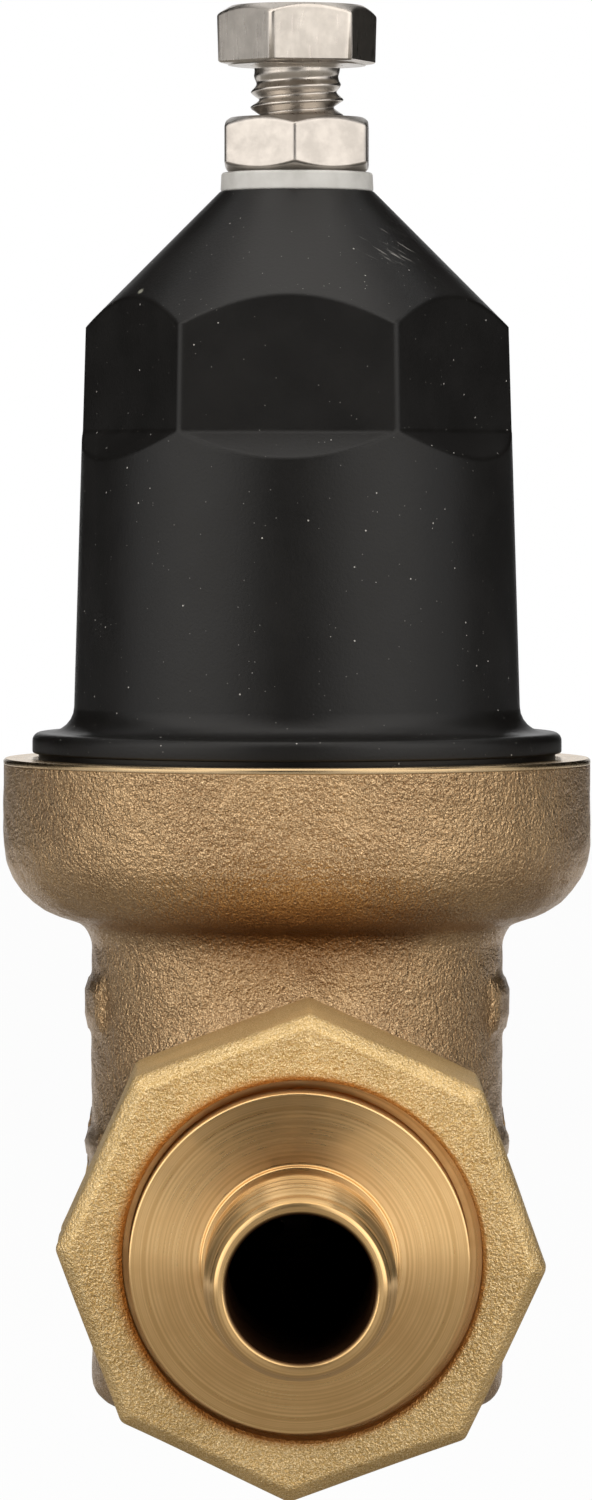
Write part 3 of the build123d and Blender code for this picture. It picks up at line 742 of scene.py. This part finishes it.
def lathe_metal(name, colour, darker, roughness, axis, rings, anisotropy=0.0, depth=0.000015):
    """Metal as it comes off the lathe, turned round the given axis."""
    material, tree, shader = new_material(name)
    across = (1, 1, 0) if axis == "Z" else (1, 0, 1)
    along = (0, 0, 1) if axis == "Z" else (0, 1, 0)
    work = use_group(tree, lathe_work, Across=across, Along=along, Rings=rings)
    ringed = tint(tree, work.outputs["Ring"], darker, colour)
    worn = math_node(tree, "MULTIPLY", work.outputs["Dulled"], 0.35)
    rough = math_node(tree, "MULTIPLY_ADD", work.outputs["Height"], 0.18, roughness - 0.09)
    rough = math_node(tree, "MULTIPLY_ADD", work.outputs["Dulled"], 0.05, rough)
    surface(tree, shader, tint(tree, worn, ringed, darker), rough, 1.0)
    if anisotropy:
        shader.inputs["Anisotropic"].default_value = anisotropy
        shader.inputs["Anisotropic Rotation"].default_value = 0.25
        tangent = tree.nodes.new("ShaderNodeTangent")
        tangent.direction_type = "RADIAL"
        tangent.axis = axis
        tree.links.new(tangent.outputs[0], shader.inputs["Tangent"])
    relief(tree, shader, work.outputs["Height"], 0.5, depth)
    return material


rim_metal = lathe_metal("machined_bronze", (0.66, 0.49, 0.29), (0.50, 0.36, 0.20), 0.24, "Z", 4200)
port_metal = lathe_metal("machined_port", (0.84, 0.66, 0.42), (0.66, 0.49, 0.29), 0.26, "Y", 4200)
stands_for(rim, "body", "valve", rim_metal)
stands_for(ports, "body", "valve", port_metal)


# ---- Working parts inside --------------------------------------------------------------
# What the casting hides: the brass seat cartridge, the steel stem with its nuts, the
# diaphragm's plates, the heavy adjusting spring, and the strainer with its light spring.
brass_parts = lathe_metal("inner_brass", (0.80, 0.60, 0.33), (0.62, 0.45, 0.23), 0.30, "Z", 3600)
steel_parts = lathe_metal("inner_steel", (0.72, 0.70, 0.67), (0.55, 0.53, 0.50), 0.30, "Z", 3600)

# Moulded skin: the faint texture of a mould and clouds of slightly uneven colour.
moulded_skin, skin_in, skin_out = socket_group(
    "moulded_skin",
    [("Texture", "NodeSocketFloat", 2000)],
    [("Height", "NodeSocketFloat"), ("Clouds", "NodeSocketFloat")],
)
place = on_the_piece(moulded_skin)
texture = noise_node(moulded_skin, place, skin_in.outputs["Texture"], 3, 0.6)
clouds = spread(moulded_skin, noise_node(moulded_skin, place, 160, 3, 0.6), 0.35, 0.7)
moulded_skin.links.new(texture, skin_out.inputs["Height"])
moulded_skin.links.new(clouds, skin_out.inputs["Clouds"])


def soft_part(name, dark, light, roughness, texture, depth):
    """A moulded part with a faint skin: rubber or plain plastic."""
    material, tree, shader = new_material(name)
    skin = use_group(tree, moulded_skin, Texture=texture)
    rough = math_node(tree, "MULTIPLY_ADD", skin.outputs["Height"], 0.15, roughness - 0.07)
    surface(tree, shader, tint(tree, skin.outputs["Clouds"], dark, light), rough)
    relief(tree, shader, skin.outputs["Height"], 0.4, depth)
    return material


rubber = soft_part("black_rubber", (0.012, 0.012, 0.012), (0.024, 0.023, 0.022), 0.62, 2400, 0.00008)
base_plastic = soft_part("base_plastic", (0.52, 0.52, 0.50), (0.62, 0.61, 0.59), 0.42, 1500, 0.00005)
# The strainer screen gets a near-black colour: painted shade for the deep bore it sits in.
screen_bore_shade = lathe_metal("screen_bore_shade", (0.060, 0.052, 0.046), (0.030, 0.026, 0.023), 0.55, "Z", 2600)
spring_wire = lathe_metal("spring_wire", (0.20, 0.19, 0.18), (0.12, 0.115, 0.11), 0.36, "Z", 1800)
for finish, nodes in (
    (brass_parts, ("bolt_insert", "friction_ring", "seat_cartridge", "disc_holder")),
    (brass_parts, ("diaphragm_plate", "lower_spring_button")),
    (steel_parts, ("stem", "disc_retainer", "disc_nut", "diaphragm_nut", "bias_spring")),
    (spring_wire, ("upper_spring_button", "adjusting_spring")),
    (screen_bore_shade, ("strainer_screen",)),
    (base_plastic, ("strainer_base",)),
):
    for node in nodes:
        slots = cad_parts[node].data.materials
        slots.clear()
        slots.append(finish)


# ---- Rubber parts ----------------------------------------------------------------------
# Moulded black rubber: the diaphragm, a sheet with one roll that lets its middle rise, the
# O-ring in the cartridge's groove, and the flat disc that shuts against the seat.
FRICTION_RING_BORE = 20.4
ROLL_RADIUS = 1.1
DIAPHRAGM_HOLE = 2.55
SEAT_DISC_BORE = 2.02
low, high = in_mm("diaphragm")
sheet_low = low.z + ROLL_RADIUS
roll_centre = (in_mm("lower_spring_button")[1].x + FRICTION_RING_BORE) / 2
dip = [(ROLL_RADIUS * math.cos(t), ROLL_RADIUS * math.sin(t)) for t in np.linspace(-math.pi, 0, 17)]
sheet_outline = rounded(
    [(DIAPHRAGM_HOLE, sheet_low, 0)]
    + [(roll_centre + r, sheet_low + h, 0) for r, h in dip]
    + [(high.x, sheet_low, 0.2), (high.x, high.z, 0.2)]
    + [(roll_centre + r, high.z + h, 0) for r, h in reversed(dip)]
    + [(DIAPHRAGM_HOLE, high.z, 0), (DIAPHRAGM_HOLE, sheet_low, 0)],
    3,
)
diaphragm = turned("rubber_diaphragm", sheet_outline, full_turn(180))
even_shading(diaphragm)
stands_for(diaphragm, "diaphragm", "valve", rubber)

low, high = in_mm("cartridge_seal")
section = (high.z - low.z) / 2
round_section = [
    (high.x - section + section * math.cos(t), low.z + section + section * math.sin(t))
    for t in np.linspace(0, 2 * math.pi, 25)
]
o_ring = turned("rubber_o_ring", round_section, full_turn(120))
stands_for(o_ring, "cartridge_seal", "valve", rubber)

low, high = in_mm("seat_disc")
disc_outline = rounded([
    (SEAT_DISC_BORE, low.z, 0.1),
    (high.x, low.z, 0.25),
    (high.x, high.z, 0.25),
    (SEAT_DISC_BORE, high.z, 0.1),
], 3)
shut_off_disc = turned("rubber_seat_disc", disc_outline + disc_outline[:1], full_turn(120))
even_shading(shut_off_disc)
stands_for(shut_off_disc, "seat_disc", "stem_group", rubber)


# ---- Bonnet ----------------------------------------------------------------------------
# The spring cage, moulded in black glass-filled composite and screwed into the body's cup.
# Six wrench flats are moulded into its round wall and a 45 degree crown closes it.
CAGE_BORE = 16.8
SCREWED_RADIUS = 25.98
LIP_RADIUS = 26.6
LIP_LOW = 46.1
LIP_TOP = 48.2
WALL_FOOT = 22.48
WALL_HEAD = 21.28
SHOULDER = 88.8
CROWN_TOP = 7.7
CROWN_THICKNESS = 7.9
INSERT_RADIUS = 6.54
INSIDE_CONE = 105.27
FLAT_HALF = 18.50
FLAT_DRAFT = 0.0257
FLAT_TURN = 27.0
FLAT_END = 78.3
FLAT_RUN_OUT = 0.96
FLAT_EDGE = 0.14
FLAT_STEP = 0.2
ONLY_OUTSIDE = 18.0
SCUFF = {"Centre": (0.0092, -0.0097, 0.0967), "Reach": (0.0042, 0.007, 0.0027)}
CHIP = {"Centre": (-0.01556, -0.00885, 0.0922), "Reach": (0.00045, 0.0007, 0.00040)}
bonnet_low, bonnet_high = in_mm("bonnet")


def side_limit(count, half_across, turn_deg, a, corner):
    """How far out a prism's flats lie at each angle, with slightly rolled corners."""
    step = 2 * math.pi / count
    off_flat = np.mod(a - math.radians(turn_deg) + step / 2, step) - step / 2
    nearer = half_across / np.cos(off_flat)
    next_one = half_across / np.cos(step - np.abs(off_flat))
    return softer(nearer, next_one, corner)


def wrench_flats(r, a, h):
    """Six flats that run out into the round wall at about 45 degrees."""
    half = FLAT_HALF + (SHOULDER - h) * FLAT_DRAFT + np.maximum(FLAT_END - h, 0) / FLAT_RUN_OUT
    half = np.where(r > ONLY_OUTSIDE, half, 1000.0)
    return softer(r, side_limit(6, half, FLAT_TURN, a, FLAT_EDGE), FLAT_EDGE)


ceiling = bonnet_high.z - CROWN_THICKNESS
bonnet_outline = rounded([
    (CAGE_BORE, bonnet_low.z, 0),
    (SCREWED_RADIUS - 0.58, bonnet_low.z, 0),
    (SCREWED_RADIUS, bonnet_low.z + 0.6, 0),
    (SCREWED_RADIUS, LIP_LOW, 0),
    (LIP_RADIUS, LIP_LOW, 0.25),
    (LIP_RADIUS, LIP_TOP, 0.85),
    (WALL_FOOT, LIP_TOP, 2.6),
    (WALL_HEAD, SHOULDER, 0.12),
    (CROWN_TOP, bonnet_high.z, 0.25),
    (INSERT_RADIUS, bonnet_high.z, 0),
    (INSERT_RADIUS, ceiling, 0),
    (INSIDE_CONE - ceiling, ceiling, 0.5),
    (CAGE_BORE, INSIDE_CONE - CAGE_BORE, 0.5),
    (CAGE_BORE, bonnet_low.z, 0),
], 6)
edges_from, edges_to = FLAT_END - 4.1, SHOULDER + 4.0
wall = []
for here, there in zip(bonnet_outline, bonnet_outline[1:]):
    wall.append(here)
    if here[0] > CAGE_BORE + 0.2 and here[1] < edges_to and there[1] > edges_from:
        first = math.ceil(max(here[1], edges_from) / FLAT_STEP) * FLAT_STEP
        for level in np.arange(first, min(there[1], edges_to), FLAT_STEP):
            share = (level - here[1]) / (there[1] - here[1])
            if 0.001 < share < 0.999:
                wall.append(here + (there - here) * share)
wall.append(bonnet_outline[-1])
bonnet = turned("bonnet_shell", wall, full_turn(540), wrench_flats)
even_shading(bonnet)

moulded, moulded_tree, moulded_shader = new_material("black_composite")
moulded_place = on_the_piece(moulded_tree)
fibres = noise_node(moulded_tree, moulded_place, 3200, 3, 0.6)
flow = spread(moulded_tree, noise_node(moulded_tree, moulded_place, 140, 4, 0.6), 0.3, 0.75)
resin = tint(moulded_tree, flow, (0.0046, 0.0041, 0.0037), (0.0064, 0.0057, 0.0051))


def fleck_mask(tree, place, cells, size, share):
    """Scattered specks: how many cells to the metre, how wide, and what share of them shows."""
    cell = tree.nodes.new("ShaderNodeTexVoronoi")
    tree.links.new(place, cell.inputs["Vector"])
    cell.inputs["Scale"].default_value = cells
    near = math_node(tree, "LESS_THAN", cell.outputs["Distance"], size * cells)
    apart = tree.nodes.new("ShaderNodeSeparateColor")
    tree.links.new(cell.outputs["Color"], apart.inputs[0])
    shown = math_node(tree, "GREATER_THAN", apart.outputs[0], 1 - share)
    return math_node(tree, "MULTIPLY", near, shown)


coarse_dust = fleck_mask(moulded_tree, moulded_place, 900, 0.000085, 0.16)
fine_dust = fleck_mask(moulded_tree, moulded_place, 1900, 0.00006, 0.14)
dust = math_node(moulded_tree, "MULTIPLY", coarse_dust, 0.75)
dust = math_node(moulded_tree, "MULTIPLY_ADD", fine_dust, 0.22, dust)
scuffed = use_group(moulded_tree, soft_patch, **SCUFF).outputs["Mask"]
stroke = moulded_tree.nodes.new("ShaderNodeMapping")
stroke.vector_type = "TEXTURE"
stroke.inputs["Rotation"].default_value = (0, math.radians(30), 0)
stroke.inputs["Scale"].default_value = (0.0030, 0.0030, 0.00022)
moulded_tree.links.new(moulded_place, stroke.inputs["Vector"])
strokes = spread(moulded_tree, noise_node(moulded_tree, stroke.outputs[0], 1.0, 3, 0.6), 0.57, 0.74)
scuffs = math_node(moulded_tree, "MULTIPLY", strokes, scuffed)
scuffs = math_node(moulded_tree, "MULTIPLY", scuffs, 0.42)
greyed = tint(moulded_tree, math_node(moulded_tree, "MAXIMUM", dust, scuffs), resin, (0.55, 0.53, 0.50))
surface(moulded_tree, moulded_shader, greyed, math_node(moulded_tree, "MULTIPLY_ADD", flow, 0.06, 0.36))
stained(moulded, (0.33, 0.33, 0.27), 0.7, soft_patch, **CHIP)
moulded_shader.inputs["Specular IOR Level"].default_value = 0.30
relief(moulded_tree, moulded_shader, fibres, 0.35, 0.00005)
stands_for(bonnet, "bonnet", "valve", moulded)


# ---- Adjusting bolt --------------------------------------------------------------------
# A stainless 3/8-16 hexagon bolt, cold headed and thread rolled, with the head's top corners
# turned off. It screws down through the crown on to the upper spring button.
BOLT_PITCH = 1.5875
BOLT_CREST = 4.66
BOLT_ROOT = 3.70
BOLT_THREAD_TOP = 114.4
BOLT_CREST_LEVEL = 110.8
BOLT_THREAD_STEP = 0.12
HEX_HALF = 7.145
HEX_EDGE = 0.42
HEX_OUT = 1.6
HEX_STEP = 0.1
HEAD_SETTLED = 0.3
HEAD_HEIGHT = 5.97
HEAD_TURN = 281.3
FOOT_HEIGHT = (0.0, 0.12, 0.25, 0.40, 0.55)
FOOT_INSET = (0.42, 0.26, 0.12, 0.03, 0.0)
bolt_low, bolt_high = in_mm("adjusting_bolt")
head_top = bolt_high.z - HEAD_SETTLED
head_bottom = head_top - HEAD_HEIGHT


def prism(count, half_across, turn_deg, corner, foot=-1000.0):
    """A shape for turned(): flats milled round the axis, with a small round at their foot."""

    def limit(r, a, h):
        half = half_across - np.interp(h - foot, FOOT_HEIGHT, FOOT_INSET)
        return softer(r, side_limit(count, half, turn_deg, a, corner), corner)

    return limit


def turn_by_flats(count, turn_deg, per_flat):
    """Angles right round the axis, closer together towards a prism's corners."""
    even = np.arange(per_flat) * 2 / per_flat - 1
    crowded = np.sign(even) * (1 - (1 - np.abs(even)) ** 1.8)
    step = 2 * math.pi / count
    middles = math.radians(turn_deg) + np.arange(count) * step
    return (middles[:, None] + crowded[None, :] * step / 2).ravel()


def rolled_thread(r, a, h):
    """The bolt's thread, which dies out into the plain neck under the head."""
    depth = BOLT_CREST - BOLT_ROOT
    fade = np.clip((BOLT_THREAD_TOP + 0.5 - h) / (2.3 * BOLT_PITCH), 0, 1)
    neck = np.clip((h - BOLT_THREAD_TOP + 1.4 * BOLT_PITCH) / (0.8 * BOLT_PITCH), 0, 1)
    rolled = thread_cut(BOLT_PITCH, BOLT_CREST_LEVEL, a, h, 1) * fade
    cut = depth * (rolled + 0.36 * neck * (1 - rolled))
    return np.where(r > BOLT_ROOT, r - cut, r)


# Drawn or milled metal: long fine scratches along the work and faint handling marks.
drawn_metal, drawn_in, drawn_out = socket_group(
    "drawn_metal",
    [("Stretch", "NodeSocketVector", (1, 1, 1)), ("Fineness", "NodeSocketFloat", 900)],
    [("Height", "NodeSocketFloat"), ("Smear", "NodeSocketFloat")],
)
place = on_the_piece(drawn_metal)
lengthened = vector_node(drawn_metal, "MULTIPLY", place, drawn_in.outputs["Stretch"]).outputs[0]
scratches = noise_node(drawn_metal, lengthened, drawn_in.outputs["Fineness"], 3, 0.6)
drawn_metal.links.new(scratches, drawn_out.inputs["Height"])
smears = spread(drawn_metal, noise_node(drawn_metal, place, 420, 4, 0.6), 0.35, 0.7)
drawn_metal.links.new(smears, drawn_out.inputs["Smear"])


def drawn_steel(name, colour, roughness, stretch, fineness):
    """Bright steel with the marks of its drawing or milling."""
    material, tree, shader = new_material(name)
    marks = use_group(tree, drawn_metal, Stretch=stretch, Fineness=fineness)
    darker = tuple(c * 0.82 for c in colour)
    rough = math_node(tree, "MULTIPLY_ADD", marks.outputs["Height"], 0.22, roughness - 0.08)
    surface(tree, shader, tint(tree, marks.outputs["Smear"], darker, colour), rough, 1.0)
    relief(tree, shader, marks.outputs["Height"], 0.10, 0.00006)
    return material


head_outline = rounded([
    (0, head_bottom, 0),
    (HEX_HALF - 0.25, head_bottom, 0),
    (HEX_HALF - 0.2, head_bottom + 0.12, 0),
    (HEX_HALF + HEX_OUT, head_bottom + 0.32, 0.1),
    (HEX_HALF + HEX_OUT, head_top - 1.25, 0.1),
    (HEX_HALF - 0.55, head_top, 0.2),
    (0, head_top, 0),
])
hex_head = prism(6, HEX_HALF, HEAD_TURN, HEX_EDGE, head_bottom + 0.12)
head_angles = turn_by_flats(6, HEAD_TURN, 40)
bolt_head = turned("bolt_head", stepped(head_outline, HEX_STEP), head_angles, hex_head)
shank_outline = [
    (0, bolt_low.z),
    (BOLT_ROOT - 0.1, bolt_low.z),
    (BOLT_CREST, bolt_low.z + 1.0),
    (BOLT_CREST, head_bottom - 0.28),
    (BOLT_CREST + 0.28, head_bottom),
    (BOLT_CREST + 0.28, head_bottom + 0.3),
    (0, head_bottom + 0.3),
]
shank_turned = stepped(shank_outline[:6], BOLT_THREAD_STEP, True) + shank_outline[6:]
shank = turned("bolt_shank", shank_turned, full_turn(96), rolled_thread)
adjusting_bolt = joined("bolt_and_thread", bolt_head, shank)
even_shading(adjusting_bolt)
bolt_steel = drawn_steel("bolt_steel", (0.65, 0.595, 0.535), 0.27, (1.0, 1.0, 0.12), 2600)
stands_for(adjusting_bolt, "adjusting_bolt", "bolt", bolt_steel)


# ---- Jam nut ---------------------------------------------------------------------------
# A stainless hexagon nut with both ends chamfered, screwed down on the plastic washer to
# keep the bolt where it was set.
JAM_NUT_TURN = 298.2
JAM_NUT_BORE = BOLT_CREST + 0.05
JAM_NUT_MOUTH = BOLT_CREST + 0.7
nut_low, nut_high = in_mm("lock_nut")
nut_outline = rounded([
    (JAM_NUT_BORE, nut_low.z + 0.6, 0),
    (JAM_NUT_MOUTH, nut_low.z, 0.1),
    (HEX_HALF - 0.45, nut_low.z, 0.15),
    (HEX_HALF + HEX_OUT, nut_low.z + 1.1, 0.1),
    (HEX_HALF + HEX_OUT, nut_high.z - 1.2, 0.1),
    (HEX_HALF - 0.5, nut_high.z, 0.15),
    (JAM_NUT_MOUTH, nut_high.z, 0.1),
    (JAM_NUT_BORE, nut_high.z - 0.6, 0),
    (JAM_NUT_BORE, nut_low.z + 0.6, 0),
])
hex_nut = prism(6, HEX_HALF, JAM_NUT_TURN, HEX_EDGE)
nut_angles = turn_by_flats(6, JAM_NUT_TURN, 40)
jam_nut = turned("jam_nut", stepped(nut_outline, HEX_STEP), nut_angles, hex_nut)
even_shading(jam_nut)
nut_steel = drawn_steel("jam_nut_steel", (0.565, 0.52, 0.475), 0.30, (0.6, 0.6, 1.0), 1500)
stands_for(jam_nut, "lock_nut", "jam_nut", nut_steel)


# ---- Sealing washer --------------------------------------------------------------------
# A punched washer of milky translucent plastic under the jam nut. It seals the thread and
# clings to the nut.
WASHER_BORE = BOLT_CREST + 0.08
washer_low, washer_high = in_mm("sealing_washer")
washer_outline = rounded([
    (WASHER_BORE, washer_low.z, 0.1),
    (washer_high.x - 0.02, washer_low.z, 0.22),
    (washer_high.x - 0.12, washer_high.z, 0.30),
    (WASHER_BORE, washer_high.z, 0.1),
])
washer = turned("milky_washer", washer_outline + washer_outline[:1], full_turn(120))
even_shading(washer)
milky, milky_tree, milky_shader = new_material("milky_plastic")
milky_place = on_the_piece(milky_tree)
clouds = spread(milky_tree, noise_node(milky_tree, milky_place, 500, 3), 0.3, 0.7)
milky_colour = tint(milky_tree, clouds, (0.56, 0.55, 0.525), (0.64, 0.63, 0.605))
surface(milky_tree, milky_shader, milky_colour, 0.4)
milky_shader.inputs["Subsurface Weight"].default_value = 0.35
milky_shader.inputs["Subsurface Radius"].default_value = (0.8, 0.8, 0.8)
milky_shader.inputs["Subsurface Scale"].default_value = 0.001
relief(milky_tree, milky_shader, noise_node(milky_tree, milky_place, 1800, 2), 0.15, 0.0001)
stands_for(washer, "sealing_washer", "washer", milky)


# ---- Union gaskets ---------------------------------------------------------------------
# A flat ring of grey fibre in each union, punched from sheet and squeezed between the port's
# end and the tail's collar when the nut is tightened.
fibre, fibre_tree, fibre_shader = new_material("grey_fibre")
fibre_place = on_the_piece(fibre_tree)
felted = noise_node(fibre_tree, fibre_place, 1400, 4, 0.7)
fibre_clouds = spread(fibre_tree, felted, 0.35, 0.65)
fibre_colour = tint(fibre_tree, fibre_clouds, (0.09, 0.09, 0.085), (0.19, 0.185, 0.175))
surface(fibre_tree, fibre_shader, fibre_colour, 0.8)
relief(fibre_tree, fibre_shader, felted, 0.4, 0.0001)
for port in ("inlet", "outlet"):
    low, high = in_mm(f"union_gasket_{port}")
    near, far = sorted((low.y, high.y), key=abs)
    ring_outline = rounded([
        (PORT_BORE, near, 0.15),
        (high.x - 0.05, near, 0.25),
        (high.x - 0.05, far, 0.25),
        (PORT_BORE, far, 0.15),
    ], 3)
    gasket = turned(f"gasket_{port}", ring_outline + ring_outline[:1], full_turn(144), along="Y")
    stands_for(gasket, f"union_gasket_{port}", "valve", fibre)


# ---- Tailpieces ------------------------------------------------------------------------
# The union tails, turned from brass bar: a collar that the nut holds, a hub with a faced
# front, and a barb of four ridges for crimp-ring tube.
COLLAR_THICKNESS = 3.5
COLLAR_PROUD = 2.25
HUB_LENGTH = 6.3
HUB_CONE = 0.75
SHOULDER_RADIUS = 9.3
BARB_ROOT = 8.3
BARB_RIDGE = 8.88
BARB_BORE = 6.78
RIDGES = 4
RIDGE_PITCH = 4.2

# How near a point of the piece lies to the pipe's axis: 1 up to Inner, 0 from Outer on.
near_axis, near_in, near_out = socket_group(
    "near_axis",
    [
        ("Across", "NodeSocketVector", (1, 0, 1)),
        ("Inner", "NodeSocketFloat", 0.01),
        ("Outer", "NodeSocketFloat", 0.02),
    ],
    [("Mask", "NodeSocketFloat")],
)
off_axis = vector_node(near_axis, "MULTIPLY", on_the_piece(near_axis), near_in.outputs["Across"]).outputs[0]
off_axis = vector_node(near_axis, "LENGTH", off_axis).outputs["Value"]
farther = spread(near_axis, off_axis, near_in.outputs["Inner"], near_in.outputs["Outer"])
near_axis.links.new(math_node(near_axis, "SUBTRACT", 1.0, farther), near_out.inputs["Mask"])

tail_brass = lathe_metal(
    "turned_brass", (0.92, 0.62, 0.295), (0.72, 0.45, 0.19), 0.29, "Y", 5400, anisotropy=0.75, depth=0.000012
)
# The tail's bore and its inner chamfer are painted near black: painted shade down inside the tube.
stained(tail_brass, (0.10, 0.045, 0.02), 1.0, near_axis, Inner=0.00684, Outer=0.00715)
for port, side in (("inlet", -1), ("outlet", 1)):
    low, high = in_mm(f"tailpiece_{port}")
    collar_radius = high.x
    hub_radius = collar_radius - COLLAR_PROUD
    collar_back, tip = sorted((abs(low.y), abs(high.y)))
    hub_back = collar_back + COLLAR_THICKNESS
    hub_front = hub_back + HUB_LENGTH
    corners = [
        (PORT_BORE, collar_back, 0.2),
        (collar_radius, collar_back, 0.25),
        (collar_radius, hub_back, 0.25),
        (hub_radius, hub_back, 0.15),
        (hub_radius, hub_front - HUB_CONE, 0.22),
        (SHOULDER_RADIUS, hub_front, 0.18),
        (SHOULDER_RADIUS, hub_front + 1.2, 0.18),
        (BARB_ROOT, hub_front + 1.25, 0.2),
    ]
    for ridge in range(RIDGES, 0, -1):
        foot = tip - 0.8 - ridge * RIDGE_PITCH
        corners += [
            (BARB_ROOT, foot, 0.12),
            (BARB_RIDGE, foot + 0.05, 0.12),
            (BARB_RIDGE, foot + 0.9, 0.2),
            (BARB_ROOT, foot + 2.0, 0.3),
        ]
    corners += [
        (BARB_ROOT, tip - 0.85, 0.25),
        (BARB_ROOT - 0.4, tip - 0.12, 0.25),
        (BARB_ROOT - 0.75, tip, 0.15),
        (BARB_BORE + 0.35, tip, 0.15),
        (BARB_BORE, tip - 0.4, 0.15),
        (BARB_BORE, hub_front - 3.3, 0.3),
        (PORT_BORE, collar_back + 0.5, 0.2),
    ]
    profile = rounded([(r, y * side, rounding) for r, y, rounding in corners], 4)
    tail = turned(f"brass_tail_{port}", profile + profile[:1], full_turn(288), along="Y")
    even_shading(tail)
    stands_for(tail, f"tailpiece_{port}", f"{port}_tail", tail_brass)


# ---- Union nuts ------------------------------------------------------------------------
# Sand-cast brass octagon nuts, bored and threaded inside. Each draws its tail's collar on to
# the port; the cast outside keeps its rounded corners and the bevel round its front.
NUT_HALF = 21.46
NUT_VERTEX = {"inlet": 87.5, "outlet": 102.2}
NUT_SHIFT = {"inlet": (0.18, 0.18), "outlet": (-0.35, 0.0)}
NUT_CORNER = 0.34
BEVEL_FROM_END = (0, 0.06, 0.15, 0.35, 0.7, 1.0, 1.3, 1.6, 2.0)
BEVEL_INSET = (1.50, 1.28, 1.08, 0.86, 0.52, 0.27, 0.11, 0.03, 0)
NUT_BORE = 19.5
NUT_LIP = 3.0
LIP_HOLE = 17.0
LIP_HOLE_OFF = 0.30
FEMALE_CREST = 18.75
FEMALE_ROOT = THREAD_CREST + 0.15
RING_OUT = 30.0
FRONT_STEPS = (0.0, 0.06, 0.15, 0.3, 0.45, 0.6, 0.75, 0.9, 1.05, 1.2, 1.4, 1.6, 1.9, 2.4, 4, 8, 12, 16, 20)
BACK_STEPS = (2.2, 1.8, 1.5, 1.2, 1.0, 0.8, 0.6, 0.4, 0.2, 0.08, 0.0)

nut_brass = cast_metal(
    "cast_brass", 3600, 120, (0.56, 0.36, 0.125), (0.72, 0.485, 0.195), (1.0, 0.80, 0.48), 0.54, 0.00017
)
stained(nut_brass, (0.46, 0.19, 0.04), 0.8, near_axis, Inner=0.0170, Outer=0.0181)


def cast_octagon(back, front, first_flat, shift):
    """A shape for turned(): an octagon nut's flats, bevels, thread and off-centre lip hole."""
    lip_back = front - NUT_LIP

    def limit(r, a, h):
        y = np.abs(h)
        inset = np.interp(np.minimum(front - y, y - back), BEVEL_FROM_END, BEVEL_INSET)
        wander = 0.05 * np.sin(5 * a + 0.6 * y) + 0.04 * np.sin(3 * a - 1.1 * y + 2)
        flats = side_limit(8, NUT_HALF - inset, first_flat, a, NUT_CORNER)
        flats = flats + shift[0] * np.cos(a) + shift[1] * np.sin(a) + wander
        outside = r > NUT_BORE + 0.2
        in_bore = (r > LIP_HOLE + 1.4) & ~outside & (y < lip_back - 0.3)
        uncut = 1 - thread_cut(UNION_PITCH, 0, a, h, -1)
        threaded = FEMALE_CREST + (FEMALE_ROOT - FEMALE_CREST) * uncut
        hole = (r < LIP_HOLE + 0.9) & (y > lip_back + 0.2)
        r = np.where(outside, np.minimum(r, flats), r)
        r = np.where(in_bore, threaded, r)
        return np.where(hole, r + LIP_HOLE_OFF * np.cos(a), r)

    return limit


for port, side in (("inlet", -1), ("outlet", 1)):
    low, high = in_mm(f"union_nut_{port}")
    back, front = sorted((abs(low.y), abs(high.y)))
    lip_back = front - NUT_LIP
    first_flat = NUT_VERTEX[port] + 22.5
    lip = rounded([
        (LIP_HOLE, lip_back + 0.3, 0),
        (LIP_HOLE, front - 0.25, 0.1),
        (LIP_HOLE + 0.35, front, 0.2),
        (RING_OUT, front, 0),
    ], 4)
    levels = [front - d for d in FRONT_STEPS] + [back + d for d in BACK_STEPS]
    outside = [(RING_OUT, y) for y in levels]
    thread_mouth = [(NUT_BORE + 0.35, back), (NUT_BORE, back + 0.5)]
    thread_part = stepped([(NUT_BORE, back + 0.9), (NUT_BORE, lip_back - 0.4)], THREAD_STEP, True)
    behind_lip = [(NUT_BORE, lip_back), (LIP_HOLE + 0.95, lip_back), (LIP_HOLE + 0.3, lip_back)]
    outline = [*lip[:-1], *outside, *thread_mouth, *thread_part, *behind_lip, lip[0]]
    outline = [(r, y * side) for r, y in outline]
    shape = cast_octagon(back, front, first_flat, NUT_SHIFT[port])
    angles = turn_by_flats(8, first_flat, 40)
    nut = turned(f"octagon_nut_{port}", outline, angles, shape, along="Y")
    even_shading(nut)
    stands_for(nut, f"union_nut_{port}", f"{port}_nut", nut_brass)
